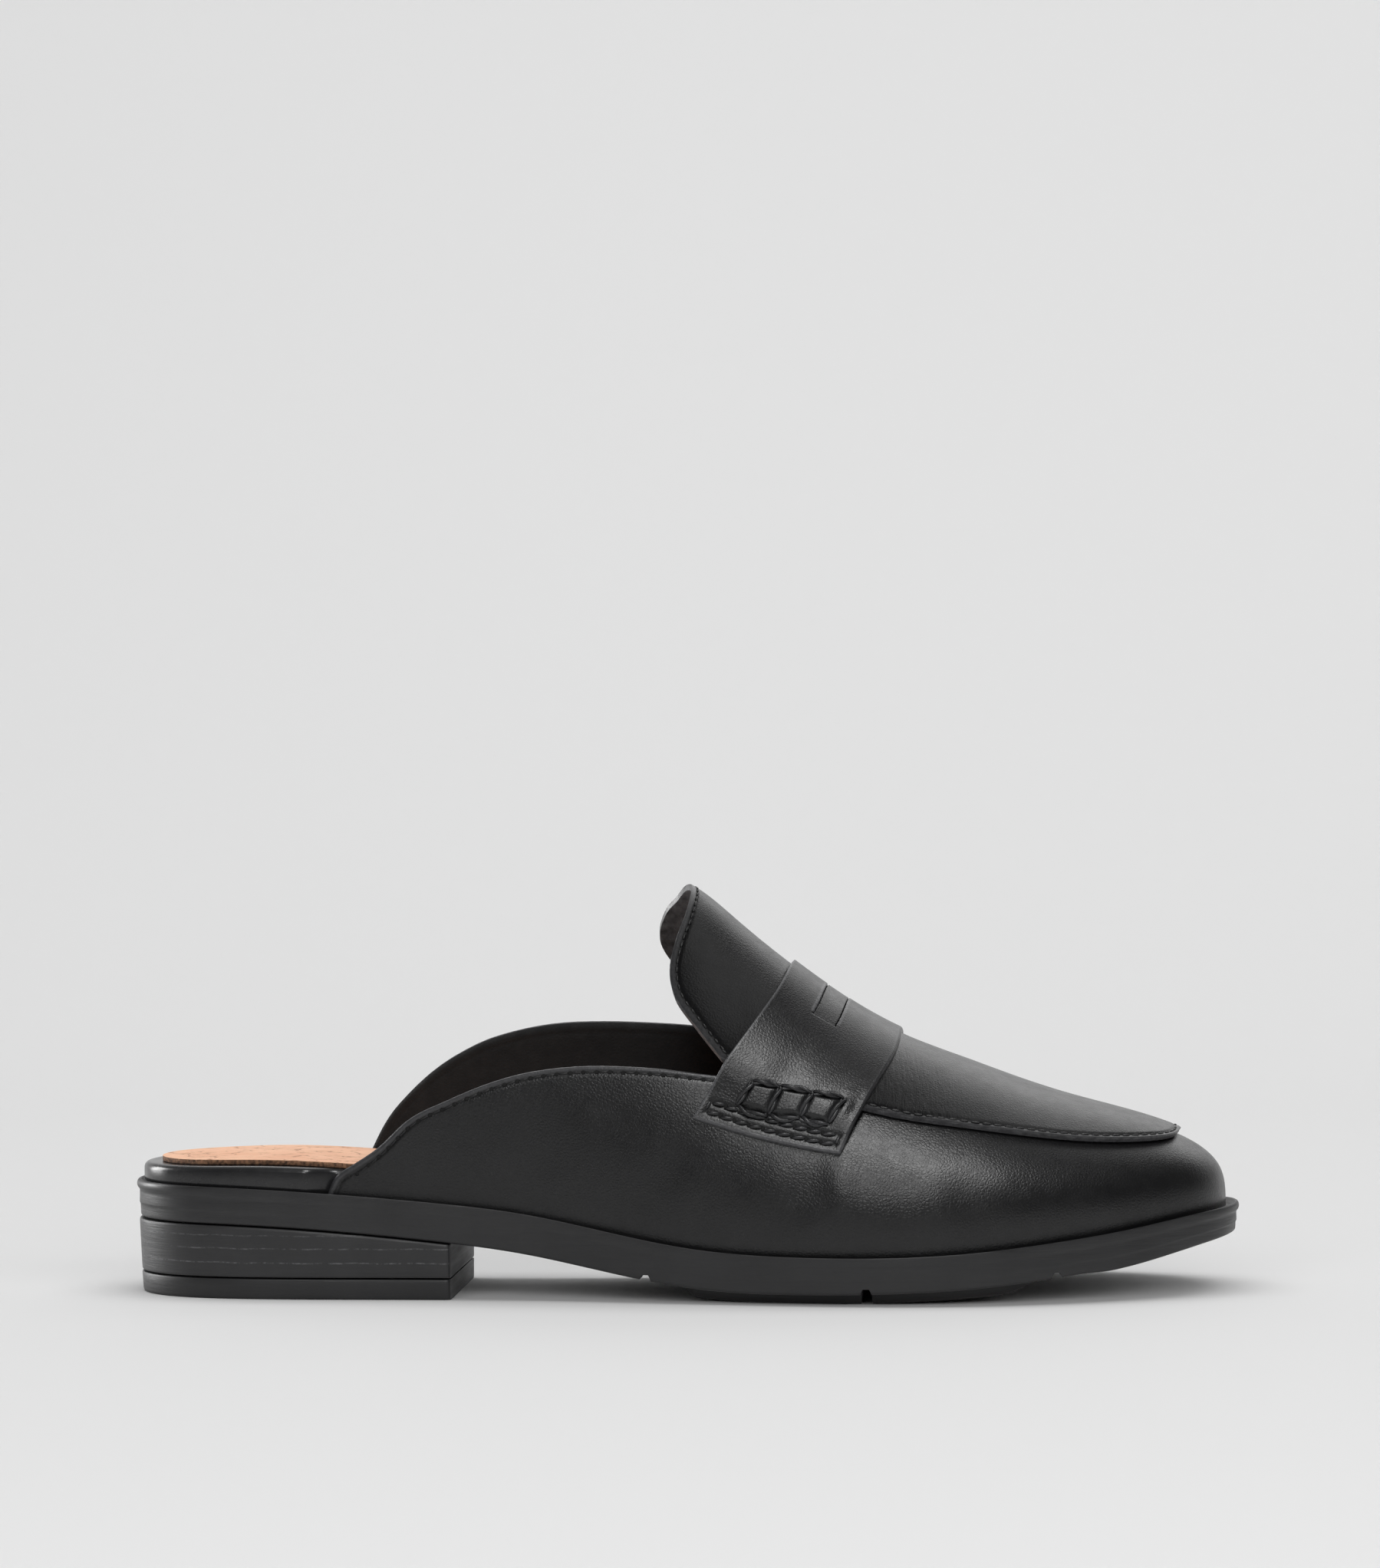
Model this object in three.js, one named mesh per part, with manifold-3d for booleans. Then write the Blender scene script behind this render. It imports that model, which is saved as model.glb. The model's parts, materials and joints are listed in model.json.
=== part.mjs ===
// A backless penny loafer for the right foot, standing on its sole.
// Millimetres. +X is the toe, +Y the inner (big toe) side, +Z up, and the floor is z = 0.
import * as THREE from "three";
import { mergeVertices } from "three/addons/utils/BufferGeometryUtils.js";
import Module from "manifold-3d";

// Driving sizes of the sole and the last
const soleLength = 265;
const ballWidth = 88;
const heelWidth = 57;
const heelRimHeight = 27;
const soleThickness = 9.2;
const topPieceHeight = 4.9;
const breastShare = 0.297;
const tongueHeight = 96.4;
const lateralCollarHeight = 55.8;
const medialCollarHeight = 64;

// Walls and layers
const upperWall = 1.9;
const apronThickness = 1.5;
const strapThickness = 1.2;
const footbedThickness = 5.9;
const sockThickness = 1.2;
const clearance = 0.3;

// Ledges, measured inwards from the sole's outline
const beadWidth = 1.5;
const beadHeight = 2.4;
const ledgeDrop = 1.2;
const upperInset = 2.9;
const randInset = 1.8;
const sockInset = 6.2;
const heelInset = 0.6;
const heelLean = 0.5;
const edgeRound = 0.5;
const randRound = 1.8;

// Tread of the forefoot
const padDepth = 2.7;
const padInset = 6.5;
const padStartShare = 0.5;
const notchWidth = 2.4;
const notchDepth = 1.7;
const notchShares = [0.474, 0.671, 0.838];

// How finely the outline is sampled to find its middle
const outlineSteps = 400;

// Side bulge low on the upper, as a share of the half width
const sideBulge = 0.12;

// The sole's outline. "at" runs from the heel (0) to the toe tip (1) along either side.
// Each row names the width that it follows, and its reach to the outer and inner side.
const outlineRows = [
  { at: 0, of: heelWidth, lateral: 0, medial: 0 },
  { at: 0.07, of: heelWidth, lateral: 0.225, medial: 0.225 },
  { at: 0.14, of: heelWidth, lateral: 0.392, medial: 0.392 },
  { at: 0.21, of: heelWidth, lateral: 0.478, medial: 0.475 },
  { at: 0.28, of: heelWidth, lateral: 0.505, medial: 0.49 },
  { at: 0.35, of: heelWidth, lateral: 0.512, medial: 0.465 },
  { at: 0.42, of: ballWidth, lateral: 0.352, medial: 0.284 },
  { at: 0.48, of: ballWidth, lateral: 0.398, medial: 0.301 },
  { at: 0.54, of: ballWidth, lateral: 0.448, medial: 0.362 },
  { at: 0.6, of: ballWidth, lateral: 0.484, medial: 0.44 },
  { at: 0.66, of: ballWidth, lateral: 0.482, medial: 0.495 },
  { at: 0.72, of: ballWidth, lateral: 0.432, medial: 0.503 },
  { at: 0.78, of: ballWidth, lateral: 0.345, medial: 0.461 },
  { at: 0.84, of: ballWidth, lateral: 0.247, medial: 0.389 },
  { at: 0.9, of: ballWidth, lateral: 0.14, medial: 0.295 },
  { at: 0.95, of: ballWidth, lateral: 0.036, medial: 0.198 },
  { at: 1, of: ballWidth, lateral: -0.082, medial: 0.082 },
];

// Height of the rim's top along the length, as shares of its height at the heel
const rimRows = [
  { share: 0, height: 1 },
  { share: 0.12, height: 0.975 },
  { share: 0.2, height: 0.927 },
  { share: 0.287, height: 0.855 },
  { share: 0.36, height: 0.772 },
  { share: 0.45, height: 0.6 },
  { share: 0.52, height: 0.482 },
  { share: 0.6, height: 0.43 },
  { share: 0.68, height: 0.426 },
  { share: 0.76, height: 0.462 },
  { share: 0.84, height: 0.543 },
  { share: 0.9, height: 0.622 },
  { share: 0.96, height: 0.72 },
  { share: 1, height: 0.768 },
];

// Thickness of the sole's edge along the length, as shares of soleThickness
const edgeRows = [
  { share: 0, thickness: 0.98 },
  { share: 0.2, thickness: 0.98 },
  { share: 0.4, thickness: 1.05 },
  { share: 0.55, thickness: 1.01 },
  { share: 0.7, thickness: 0.93 },
  { share: 0.85, thickness: 0.92 },
  { share: 1, thickness: 0.76 },
];

// Thickness of the footbed along the length, as shares of footbedThickness
const footbedRows = [
  { share: 0, thickness: 0.85 },
  { share: 0.06, thickness: 0.9 },
  { share: 0.12, thickness: 1.03 },
  { share: 0.2, thickness: 1.12 },
  { share: 0.3, thickness: 1.1 },
  { share: 0.5, thickness: 1 },
  { share: 1, thickness: 0.88 },
];

// Top line of the last, as shares of tongueHeight. Behind the throat it is the foot's own line.
const ridgeRows = [
  { share: 0.15, height: 1.04 },
  { share: 0.3, height: 1.045 },
  { share: 0.42, height: 1.035 },
  { share: 0.47, height: 1.02 },
  { share: 0.503, height: 0.992 },
  { share: 0.545, height: 0.902 },
  { share: 0.6, height: 0.779 },
  { share: 0.65, height: 0.683 },
  { share: 0.7, height: 0.609 },
  { share: 0.75, height: 0.555 },
  { share: 0.8, height: 0.503 },
  { share: 0.85, height: 0.458 },
  { share: 0.9, height: 0.426 },
  { share: 0.95, height: 0.404 },
  { share: 1, height: 0.39 },
];

// Where the top line runs to the inner side, as shares of ballWidth
const ridgeSideRows = [
  { share: 0, side: 0 },
  { share: 0.45, side: 0 },
  { share: 0.6, side: 0.01 },
  { share: 0.7, side: 0.03 },
  { share: 0.84, side: 0.06 },
  { share: 1, side: 0.07 },
];

// How square a section is: 2 is an ellipse, less is a ridge, more is boxy
const squareRows = [
  { at: 0.2, square: 2.7 },
  { at: 0.4, square: 2.25 },
  { at: 0.5, square: 1.92 },
  { at: 0.58, square: 1.86 },
  { at: 0.66, square: 2.05 },
  { at: 0.75, square: 2.3 },
  { at: 0.87, square: 2.7 },
  { at: 1, square: 3 },
];

// Collar edge of each wing, as shares of its own collar height
const wingStartShare = 0.291;
const collarRows = {
  lateral: [
    { share: 0.195, height: 0.44 },
    { share: 0.2015, height: 0.52 },
    { share: 0.215, height: 0.575 },
    { share: 0.231, height: 0.637 },
    { share: 0.26, height: 0.768 },
    { share: 0.295, height: 0.851 },
    { share: 0.332, height: 0.924 },
    { share: 0.37, height: 0.974 },
    { share: 0.42, height: 1 },
    { share: 0.48, height: 0.993 },
    { share: 0.54, height: 0.965 },
  ],
  medial: [
    { share: 0.195, height: 0.42 },
    { share: 0.202, height: 0.48 },
    { share: 0.216, height: 0.594 },
    { share: 0.23, height: 0.672 },
    { share: 0.258, height: 0.785 },
    { share: 0.286, height: 0.865 },
    { share: 0.32, height: 0.931 },
    { share: 0.37, height: 0.98 },
    { share: 0.42, height: 0.992 },
    { share: 0.48, height: 0.984 },
    { share: 0.54, height: 0.966 },
  ],
};
const footbedStepShare = 0.025;
const collarEndShare = 0.54;
const throatShare = 0.645;

// Lower edge of the apron, as a share of the height between feather and ridge
const seamRows = {
  lateral: [
    { at: 0.45, level: 0.56 },
    { at: 0.525, level: 0.585 },
    { at: 0.565, level: 0.615 },
    { at: 0.61, level: 0.652 },
    { at: 0.656, level: 0.687 },
    { at: 0.711, level: 0.727 },
    { at: 0.8, level: 0.776 },
    { at: 0.9, level: 0.828 },
    { at: 1, level: 0.885 },
  ],
  medial: [
    { at: 0.45, level: 0.62 },
    { at: 0.525, level: 0.65 },
    { at: 0.565, level: 0.662 },
    { at: 0.61, level: 0.68 },
    { at: 0.656, level: 0.7 },
    { at: 0.711, level: 0.73 },
    { at: 0.8, level: 0.776 },
    { at: 0.9, level: 0.828 },
    { at: 1, level: 0.885 },
  ],
};

// Rear edge of the tongue from its outer corner (-1) over the ridge (0) to its inner corner (1)
const tongueJoinShare = 0.536;
const tongueRows = [
  { across: -1, share: 0.541 },
  { across: -0.93, share: 0.52 },
  { across: -0.85, share: 0.5 },
  { across: -0.74, share: 0.4935 },
  { across: -0.6, share: 0.4975 },
  { across: -0.42, share: 0.505 },
  { across: -0.2, share: 0.5085 },
  { across: 0, share: 0.507 },
  { across: 0.2, share: 0.5 },
  { across: 0.38, share: 0.4915 },
  { across: 0.51, share: 0.481 },
  { across: 0.645, share: 0.474 },
  { across: 0.73, share: 0.475 },
  { across: 0.82, share: 0.486 },
  { across: 0.91, share: 0.506 },
  { across: 1, share: 0.537 },
];

// Saddle strap: its edges along the length, by the angle down from the ridge (0) to the feather (1)
const strapRows = [
  { down: 0, rear: 0.6, front: 0.697 },
  { down: 0.14, rear: 0.597, front: 0.697 },
  { down: 0.28, rear: 0.59, front: 0.693 },
  { down: 0.41, rear: 0.576, front: 0.683 },
  { down: 0.52, rear: 0.559, front: 0.671 },
  { down: 0.62, rear: 0.54, front: 0.658 },
  { down: 0.74, rear: 0.515, front: 0.641 },
];
const hemRearShare = 0.737;
const hemFrontShare = 0.695;
const slotHalfShare = 0.31;
const slotFromShare = 0.31;
const slotToShare = 0.51;
const strapSettleShare = { from: 0.585, to: 0.66 };

// Cubic through a table's rows, its slopes taken from the neighbours on either side.
function tableValue(rows, key, column, where) {
  const last = rows.length - 1;
  const place = Math.min(Math.max(where, rows[0][key]), rows[last][key]);
  let i = 0;
  while (i < last - 1 && rows[i + 1][key] < place) i += 1;
  const slopeAt = (k) => {
    const low = rows[Math.max(k - 1, 0)];
    const high = rows[Math.min(k + 1, last)];
    return (high[column] - low[column]) / (high[key] - low[key]);
  };
  const span = rows[i + 1][key] - rows[i][key];
  const t = (place - rows[i][key]) / span;
  const rest = 1 - t;
  return (
    rows[i][column] * (1 + 2 * t) * rest * rest +
    rows[i + 1][column] * t * t * (3 - 2 * t) +
    slopeAt(i) * span * t * rest * rest -
    slopeAt(i + 1) * span * t * t * rest
  );
}

function mix(a, b, share) {
  return a + (b - a) * share;
}

function smoothStep(from, to, value) {
  const t = Math.min(Math.max((value - from) / (to - from), 0), 1);
  return t * t * (3 - 2 * t);
}

// The outline as one closed table: "turn" 0 to 1 is the outer side, 1 to 2 the inner one back.
const turnRows = [
  ...outlineRows.map((row) => ({ turn: row.at, y: -row.lateral * row.of })),
  ...outlineRows
    .slice(0, -1)
    .reverse()
    .map((row) => ({ turn: 2 - row.at, y: row.medial * row.of })),
];
const closedRows = [
  ...turnRows.slice(-3, -1).map((row) => ({ turn: row.turn - 2, y: row.y })),
  ...turnRows,
  ...turnRows.slice(1, 3).map((row) => ({ turn: row.turn + 2, y: row.y })),
];
const sideReach = steps(outlineSteps, (t) => tableValue(closedRows, "turn", "y", 2 * t));
const midSide = (Math.min(...sideReach) + Math.max(...sideReach)) / 2;

function lengthShare(at) {
  return (1 - Math.cos(Math.PI * at)) / 2;
}

function atOfShare(share) {
  return Math.acos(1 - 2 * share) / Math.PI;
}

function outlineAt(turn) {
  const y = tableValue(closedRows, "turn", "y", turn) - midSide;
  return new THREE.Vector2((lengthShare(turn) - 0.5) * soleLength, y);
}

// A point of the outline, moved inwards along its own normal.
function insetPoint(side, at, inset) {
  const turn = side === "lateral" ? at : 2 - at;
  const step = 0.004;
  const before = outlineAt(turn - step);
  const after = outlineAt(turn + step);
  const along = after.sub(before).normalize();
  return outlineAt(turn).add(new THREE.Vector2(-along.y, along.x).multiplyScalar(inset));
}

function shareOfX(x) {
  return x / soleLength + 0.5;
}

function rimHeight(share) {
  return heelRimHeight * tableValue(rimRows, "share", "height", share);
}

function edgeBottom(share) {
  return rimHeight(share) - soleThickness * tableValue(edgeRows, "share", "thickness", share);
}

function featherHeight(share) {
  return rimHeight(share) - ledgeDrop + clearance;
}

function ridgeHeight(share, offset) {
  const height = (s) => tongueHeight * tableValue(ridgeRows, "share", "height", s);
  const step = 0.01;
  const slope = (height(share + step) - height(share - step)) / (2 * step * soleLength);
  return height(share) + offset * Math.hypot(1, slope);
}

// The rays of the sections end on the ridge; at the toe they gather in one pole.
const fanStartShare = 0.62;
const poleShare = 0.842;
const gatherShare = 0.003;

function ridgeShare(at) {
  if (at <= fanStartShare) return lengthShare(at);
  const reach = poleShare - lengthShare(fanStartShare);
  const startSlope = (Math.PI / 2) * Math.sin(Math.PI * fanStartShare);
  const power = (startSlope * (1 - fanStartShare)) / reach;
  const left = (1 - (at - fanStartShare) / (1 - fanStartShare)) ** power;
  return lengthShare(fanStartShare) + reach * (left < gatherShare ? 1 : 1 - left);
}

// The last's surface. "angle" is 0 at the feather and a quarter turn on the ridge;
// "offset" moves the surface outwards.
function lastPoint(side, at, angle, offset) {
  const square = tableValue(squareRows, "at", "square", at);
  const belly = sideBulge * Math.sin(Math.PI * at) * Math.sin(2 * angle) * Math.cos(angle) ** 4;
  const wide = Math.cos(angle) ** (2 / square) * (1 + belly);
  const high = Math.sin(angle) ** (2 / square);
  const foot = insetPoint(side, at, upperInset - offset);
  const topShare = ridgeShare(at);
  const topX = (topShare - 0.5) * soleLength;
  const topY = ballWidth * tableValue(ridgeSideRows, "share", "side", topShare) - midSide;
  const x = mix(topX, foot.x, wide);
  const y = mix(topY, foot.y, wide);
  const base = featherHeight(shareOfX(foot.x));
  return new THREE.Vector3(x, y, base + (ridgeHeight(shareOfX(x), offset) - base) * high);
}

function angleOfLevel(at, level) {
  const square = tableValue(squareRows, "at", "square", at);
  return Math.asin(Math.min(Math.max(level, 0), 1) ** (square / 2));
}

// Angle of the collar's edge, which turns up under the strap to meet the ridge at the throat.
function collarAngle(side, at) {
  const share = lengthShare(at);
  const collarHeight = side === "lateral" ? lateralCollarHeight : medialCollarHeight;
  const seen = Math.min(share, collarEndShare);
  const height = collarHeight * tableValue(collarRows[side], "share", "height", seen);
  const base = featherHeight(seen);
  const level = (height - base) / (ridgeHeight(seen, 0) - base);
  const rise = smoothStep(collarEndShare, throatShare, share);
  return mix(angleOfLevel(atOfShare(seen), level), Math.PI / 2, rise);
}

function seamAngle(side, at) {
  return angleOfLevel(at, tableValue(seamRows[side], "at", "level", at));
}

// Collects triangles whose shared corners are merged, and drops the ones that have no area.
class Skin {
  constructor() {
    this.corners = [];
  }
  triangle(a, b, c) {
    const near = 2e-3;
    if (a.distanceTo(b) < near || b.distanceTo(c) < near || c.distanceTo(a) < near) return;
    this.corners.push(...a.toArray(), ...b.toArray(), ...c.toArray());
  }
  quad(a, b, c, d) {
    if (a.distanceTo(c) <= b.distanceTo(d)) {
      this.triangle(a, b, c);
      this.triangle(a, c, d);
    } else {
      this.triangle(a, b, d);
      this.triangle(b, c, d);
    }
  }
  geometry() {
    const geometry = new THREE.BufferGeometry();
    geometry.setAttribute("position", new THREE.Float32BufferAttribute(this.corners, 3));
    return mergeVertices(geometry, 2e-3);
  }
}

// A wall between two grids of points. Cells that "keep" refuses are left open, with a rim
// between the grids all along their border. "joined" says which borders meet themselves.
function wallBetween(outer, inner, keep, joined) {
  const rows = outer.length - 1;
  const columns = outer[0].length - 1;
  const kept = (i, j) => i >= 0 && j >= 0 && i < rows && j < columns && keep(i, j);
  const skin = new Skin();
  const rim = (i, j, k, l) => skin.quad(outer[i][j], outer[k][l], inner[k][l], inner[i][j]);
  for (let i = 0; i < rows; i += 1) {
    for (let j = 0; j < columns; j += 1) {
      if (!kept(i, j)) continue;
      skin.quad(outer[i][j], outer[i + 1][j], outer[i + 1][j + 1], outer[i][j + 1]);
      skin.quad(inner[i][j], inner[i][j + 1], inner[i + 1][j + 1], inner[i + 1][j]);
      if (!kept(i - 1, j)) rim(i, j, i, j + 1);
      if (!kept(i + 1, j) && !(joined && i + 1 === rows)) rim(i + 1, j + 1, i + 1, j);
      if (!kept(i, j - 1)) rim(i + 1, j, i, j);
      if (!kept(i, j + 1)) rim(i, j + 1, i + 1, j + 1);
    }
  }
  return skin.geometry();
}

// A slab within the sole's outline: each row has the same profile of insets and heights on
// both sides, and the rows run from the heel to "endAt", where the slab closes or is cut flat.
function slab(rowCount, startAt, endAt, profile) {
  const rows = [];
  for (let i = 0; i <= rowCount; i += 1) {
    const at = mix(startAt, endAt, i / rowCount);
    const reach = (side) =>
      profile(at).map(({ inset, height }) => {
        const flat = insetPoint(side, at, inset);
        return new THREE.Vector3(flat.x, flat.y, height(shareOfX(flat.x)));
      });
    rows.push([...reach("lateral"), ...reach("medial").reverse()]);
  }
  const skin = new Skin();
  const count = rows[0].length;
  for (let i = 0; i < rowCount; i += 1) {
    for (let j = 0; j < count; j += 1) {
      const next = (j + 1) % count;
      skin.quad(rows[i][j], rows[i][next], rows[i + 1][next], rows[i + 1][j]);
    }
  }
  if (endAt < 1) {
    const face = rows[rowCount].map((p) => new THREE.Vector2(p.y, p.z));
    THREE.ShapeUtils.triangulateShape(face, []).forEach(([a, b, c]) => {
      const end = rows[rowCount];
      const flat = (face[b].x - face[a].x) * (face[c].y - face[a].y);
      const turned = (face[c].x - face[a].x) * (face[b].y - face[a].y);
      if (flat > turned) skin.triangle(end[a], end[b], end[c]);
      else skin.triangle(end[a], end[c], end[b]);
    });
  }
  return skin.geometry();
}

function steps(count, value) {
  return Array.from({ length: count + 1 }, (_, i) => value(i / count));
}

const wasm = await Module();
wasm.setup();

function solidOf(geometry) {
  const plain = new THREE.BufferGeometry();
  const flat = geometry.index ? geometry.toNonIndexed() : geometry;
  plain.setAttribute("position", flat.getAttribute("position"));
  const merged = mergeVertices(plain, 1e-3);
  const mesh = new wasm.Mesh({
    numProp: 3,
    vertProperties: merged.attributes.position.array,
    triVerts: new Uint32Array(merged.index.array),
  });
  return new wasm.Manifold(mesh);
}

function geometryOf(solid) {
  const mesh = solid.getMesh();
  const geometry = new THREE.BufferGeometry();
  geometry.setAttribute("position", new THREE.BufferAttribute(mesh.vertProperties, 3));
  geometry.setIndex(new THREE.BufferAttribute(mesh.triVerts, 1));
  return geometry;
}

// The moulded sole: ledge, rim bead, side with one shallow step, and the forefoot's tread pad.
function outsole() {
  const stepShare = 0.55;
  const padZ = (share) => {
    const depth = padDepth * smoothStep(padStartShare, padStartShare + 0.02, share);
    return Math.max(0, edgeBottom(share) - depth);
  };
  const side = (share) => (s) => mix(rimHeight(s) - beadHeight, edgeBottom(s), share);
  const profile = () => [
    { inset: beadWidth + clearance, height: (s) => rimHeight(s) - ledgeDrop },
    { inset: beadWidth, height: (s) => rimHeight(s) - ledgeDrop * 0.4 },
    { inset: beadWidth * 0.62, height: rimHeight },
    { inset: beadWidth * 0.22, height: (s) => rimHeight(s) - beadHeight * 0.14 },
    { inset: 0, height: (s) => rimHeight(s) - beadHeight * 0.5 },
    { inset: beadWidth * 0.2, height: (s) => rimHeight(s) - beadHeight * 0.9 },
    { inset: beadWidth * 0.42, height: side(0.03) },
    { inset: beadWidth * 0.42, height: side(stepShare) },
    { inset: beadWidth * 0.58, height: side(stepShare + 0.03) },
    { inset: beadWidth * 0.6, height: side(0.94) },
    { inset: beadWidth * 0.8, height: edgeBottom },
    { inset: padInset, height: edgeBottom },
    { inset: padInset + padDepth * 0.2, height: padZ },
  ];
  let solid = solidOf(slab(52, 0, 1, profile));
  notchShares.forEach((share) => {
    const box = new THREE.BoxGeometry(notchWidth, ballWidth * 1.2, notchDepth * 2);
    box.translate((share - 0.5) * soleLength, 0, edgeBottom(share) - notchDepth * 0.15);
    solid = solid.subtract(solidOf(box));
  });
  return geometryOf(solid);
}

// The heel lies under the sole's edge and stops at the upright breast.
function heelBlock() {
  const profile = () => [
    { inset: heelInset + edgeRound, height: (s) => edgeBottom(s) - clearance },
    { inset: heelInset, height: (s) => edgeBottom(s) - clearance - edgeRound },
    { inset: heelInset + heelLean, height: () => topPieceHeight + clearance + edgeRound },
    { inset: heelInset + heelLean + edgeRound, height: () => topPieceHeight + clearance },
  ];
  return slab(13, 0, atOfShare(breastShare), profile);
}

function topPiece() {
  const profile = () => [
    { inset: heelInset + heelLean + edgeRound, height: () => topPieceHeight },
    { inset: heelInset + heelLean, height: () => topPieceHeight - edgeRound },
    { inset: heelInset + heelLean * 1.6, height: () => edgeRound },
    { inset: heelInset + heelLean * 1.6 + edgeRound, height: () => 0 },
  ];
  return slab(13, 0, atOfShare(breastShare), profile);
}

// How far the footbed stands in from the outline: flush with the bead at the heel, and
// inside the wall of the upper from the wings forward.
function footbedInset(at) {
  const inside = upperInset + upperWall + clearance;
  return mix(randInset, inside, smoothStep(wingStartShare - footbedStepShare, wingStartShare, at));
}

function footbedTop(share) {
  return featherHeight(share) + footbedThickness * tableValue(footbedRows, "share", "thickness", share);
}

function footbed() {
  const profile = (at) => [
    { inset: footbedInset(at) + randRound, height: footbedTop },
    { inset: footbedInset(at) + randRound * 0.3, height: (s) => footbedTop(s) - randRound * 0.25 },
    { inset: footbedInset(at), height: (s) => footbedTop(s) - randRound * 0.85 },
    { inset: footbedInset(at), height: (s) => featherHeight(s) + edgeRound },
    { inset: footbedInset(at) + edgeRound, height: featherHeight },
  ];
  return slab(52, 0, 1, profile);
}

function insoleSock() {
  const under = (s) => footbedTop(s) + clearance;
  const profile = () => [
    { inset: sockInset + sockThickness * 0.3, height: (s) => under(s) + sockThickness },
    { inset: sockInset, height: (s) => under(s) + sockThickness * 0.7 },
    { inset: sockInset, height: under },
  ];
  return slab(44, 0, 1, profile);
}

// Vamp and both wings in one wall, open at the collar, the heel and underneath.
function upper() {
  const up = 10;
  const wingRows = 24;
  const vampRows = 24;
  const throatAt = atOfShare(throatShare);
  const places = [
    ...steps(wingRows, (t) => mix(wingStartShare, throatAt, t)),
    ...steps(vampRows, (t) => mix(throatAt, 1, t)).slice(1),
  ];
  const grid = (offset) =>
    places.map((at, i) => {
      const half = (side) => {
        const top = i >= wingRows ? Math.PI / 2 : collarAngle(side, at);
        return steps(up, (t) => lastPoint(side, at, top * t, offset));
      };
      return [...half("lateral"), ...half("medial").reverse()];
    });
  const keep = (i, j) => j !== up || i >= wingRows;
  return wallBetween(grid(0), grid(-upperWall), keep, true);
}

// The apron laps over the vamp and runs back under the strap to stand up as the tongue.
function apronTongue() {
  const halfColumns = 8;
  const tongueSteps = 7;
  const apronSteps = 26;
  const across = steps(2 * halfColumns, (t) => 2 * t - 1);
  const grid = (offset) =>
    steps(tongueSteps + apronSteps, (t) => t).map((_, i) =>
      across.map((place) => {
        const rear = atOfShare(tableValue(tongueRows, "across", "share", place));
        const at =
          i <= tongueSteps
            ? mix(rear, tongueJoinShare, i / tongueSteps)
            : mix(tongueJoinShare, 1, (i - tongueSteps) / apronSteps);
        const side = place <= 0 ? "lateral" : "medial";
        const angle = mix(Math.PI / 2, seamAngle(side, at), Math.abs(place));
        return lastPoint(side, at, angle, offset);
      }),
    );
  const below = clearance;
  return wallBetween(grid(below + apronThickness), grid(below), () => true, true);
}

// The saddle strap crosses the apron and settles on the vamp on either side, with one slot.
function strap() {
  const across = [0, 0.15, slotFromShare, slotToShare, 0.75, 1];
  const bend = 9;
  const down = [
    ...steps(bend, (t) => mix(1, slotHalfShare / hemRearShare, t)),
    ...steps(5, (t) => mix(slotHalfShare / hemRearShare, 0, t)).slice(1),
  ];
  const along = [...down.map((d) => -d), ...down.slice(0, -1).reverse()];
  const over = clearance + apronThickness + clearance;
  const grid = (extra) =>
    along.map((place) =>
      across.map((share) => {
        const depth = Math.abs(place) * mix(hemRearShare, hemFrontShare, share);
        const rear = tableValue(strapRows, "down", "rear", depth);
        const front = tableValue(strapRows, "down", "front", depth);
        const rest = mix(over, clearance, smoothStep(strapSettleShare.from, strapSettleShare.to, depth));
        const side = place <= 0 ? "lateral" : "medial";
        const angle = (Math.PI / 2) * (1 - depth);
        return lastPoint(side, atOfShare(mix(rear, front, share)), angle, rest + extra);
      }),
    );
  const slotColumn = across.indexOf(slotFromShare);
  const inSlot = (i) => i >= bend && i < along.length - 1 - bend;
  const keep = (i, j) => !(j === slotColumn && inSlot(i));
  return wallBetween(grid(0), grid(strapThickness), keep, false);
}

const finishes = {
  rubber: { color: 0x2c2c2d, roughness: 0.6, metalness: 0 },
  stackedHeel: { color: 0x2a2a2b, roughness: 0.55, metalness: 0 },
  smoothLeather: { color: 0x1b1b1c, roughness: 0.36, metalness: 0 },
  wrapLeather: { color: 0x161617, roughness: 0.3, metalness: 0 },
  tanLeather: { color: 0xd8a07c, roughness: 0.75, metalness: 0 },
};

function piece(name, geometry, finish) {
  const mesh = new THREE.Mesh(geometry, new THREE.MeshStandardMaterial(finish));
  mesh.name = name;
  return mesh;
}

const shoe = new THREE.Group();
shoe.add(
  piece("outsole", outsole(), finishes.rubber),
  piece("heel_block", heelBlock(), finishes.stackedHeel),
  piece("top_piece", topPiece(), finishes.rubber),
  piece("footbed", footbed(), finishes.wrapLeather),
  piece("insole_sock", insoleSock(), finishes.tanLeather),
  piece("upper", upper(), finishes.smoothLeather),
  piece("apron_tongue", apronTongue(), finishes.smoothLeather),
  piece("strap", strap(), finishes.smoothLeather),
);

export default shoe;
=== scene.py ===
import json
import math
import bpy
import numpy as np
from mathutils import Matrix, Vector

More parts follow.
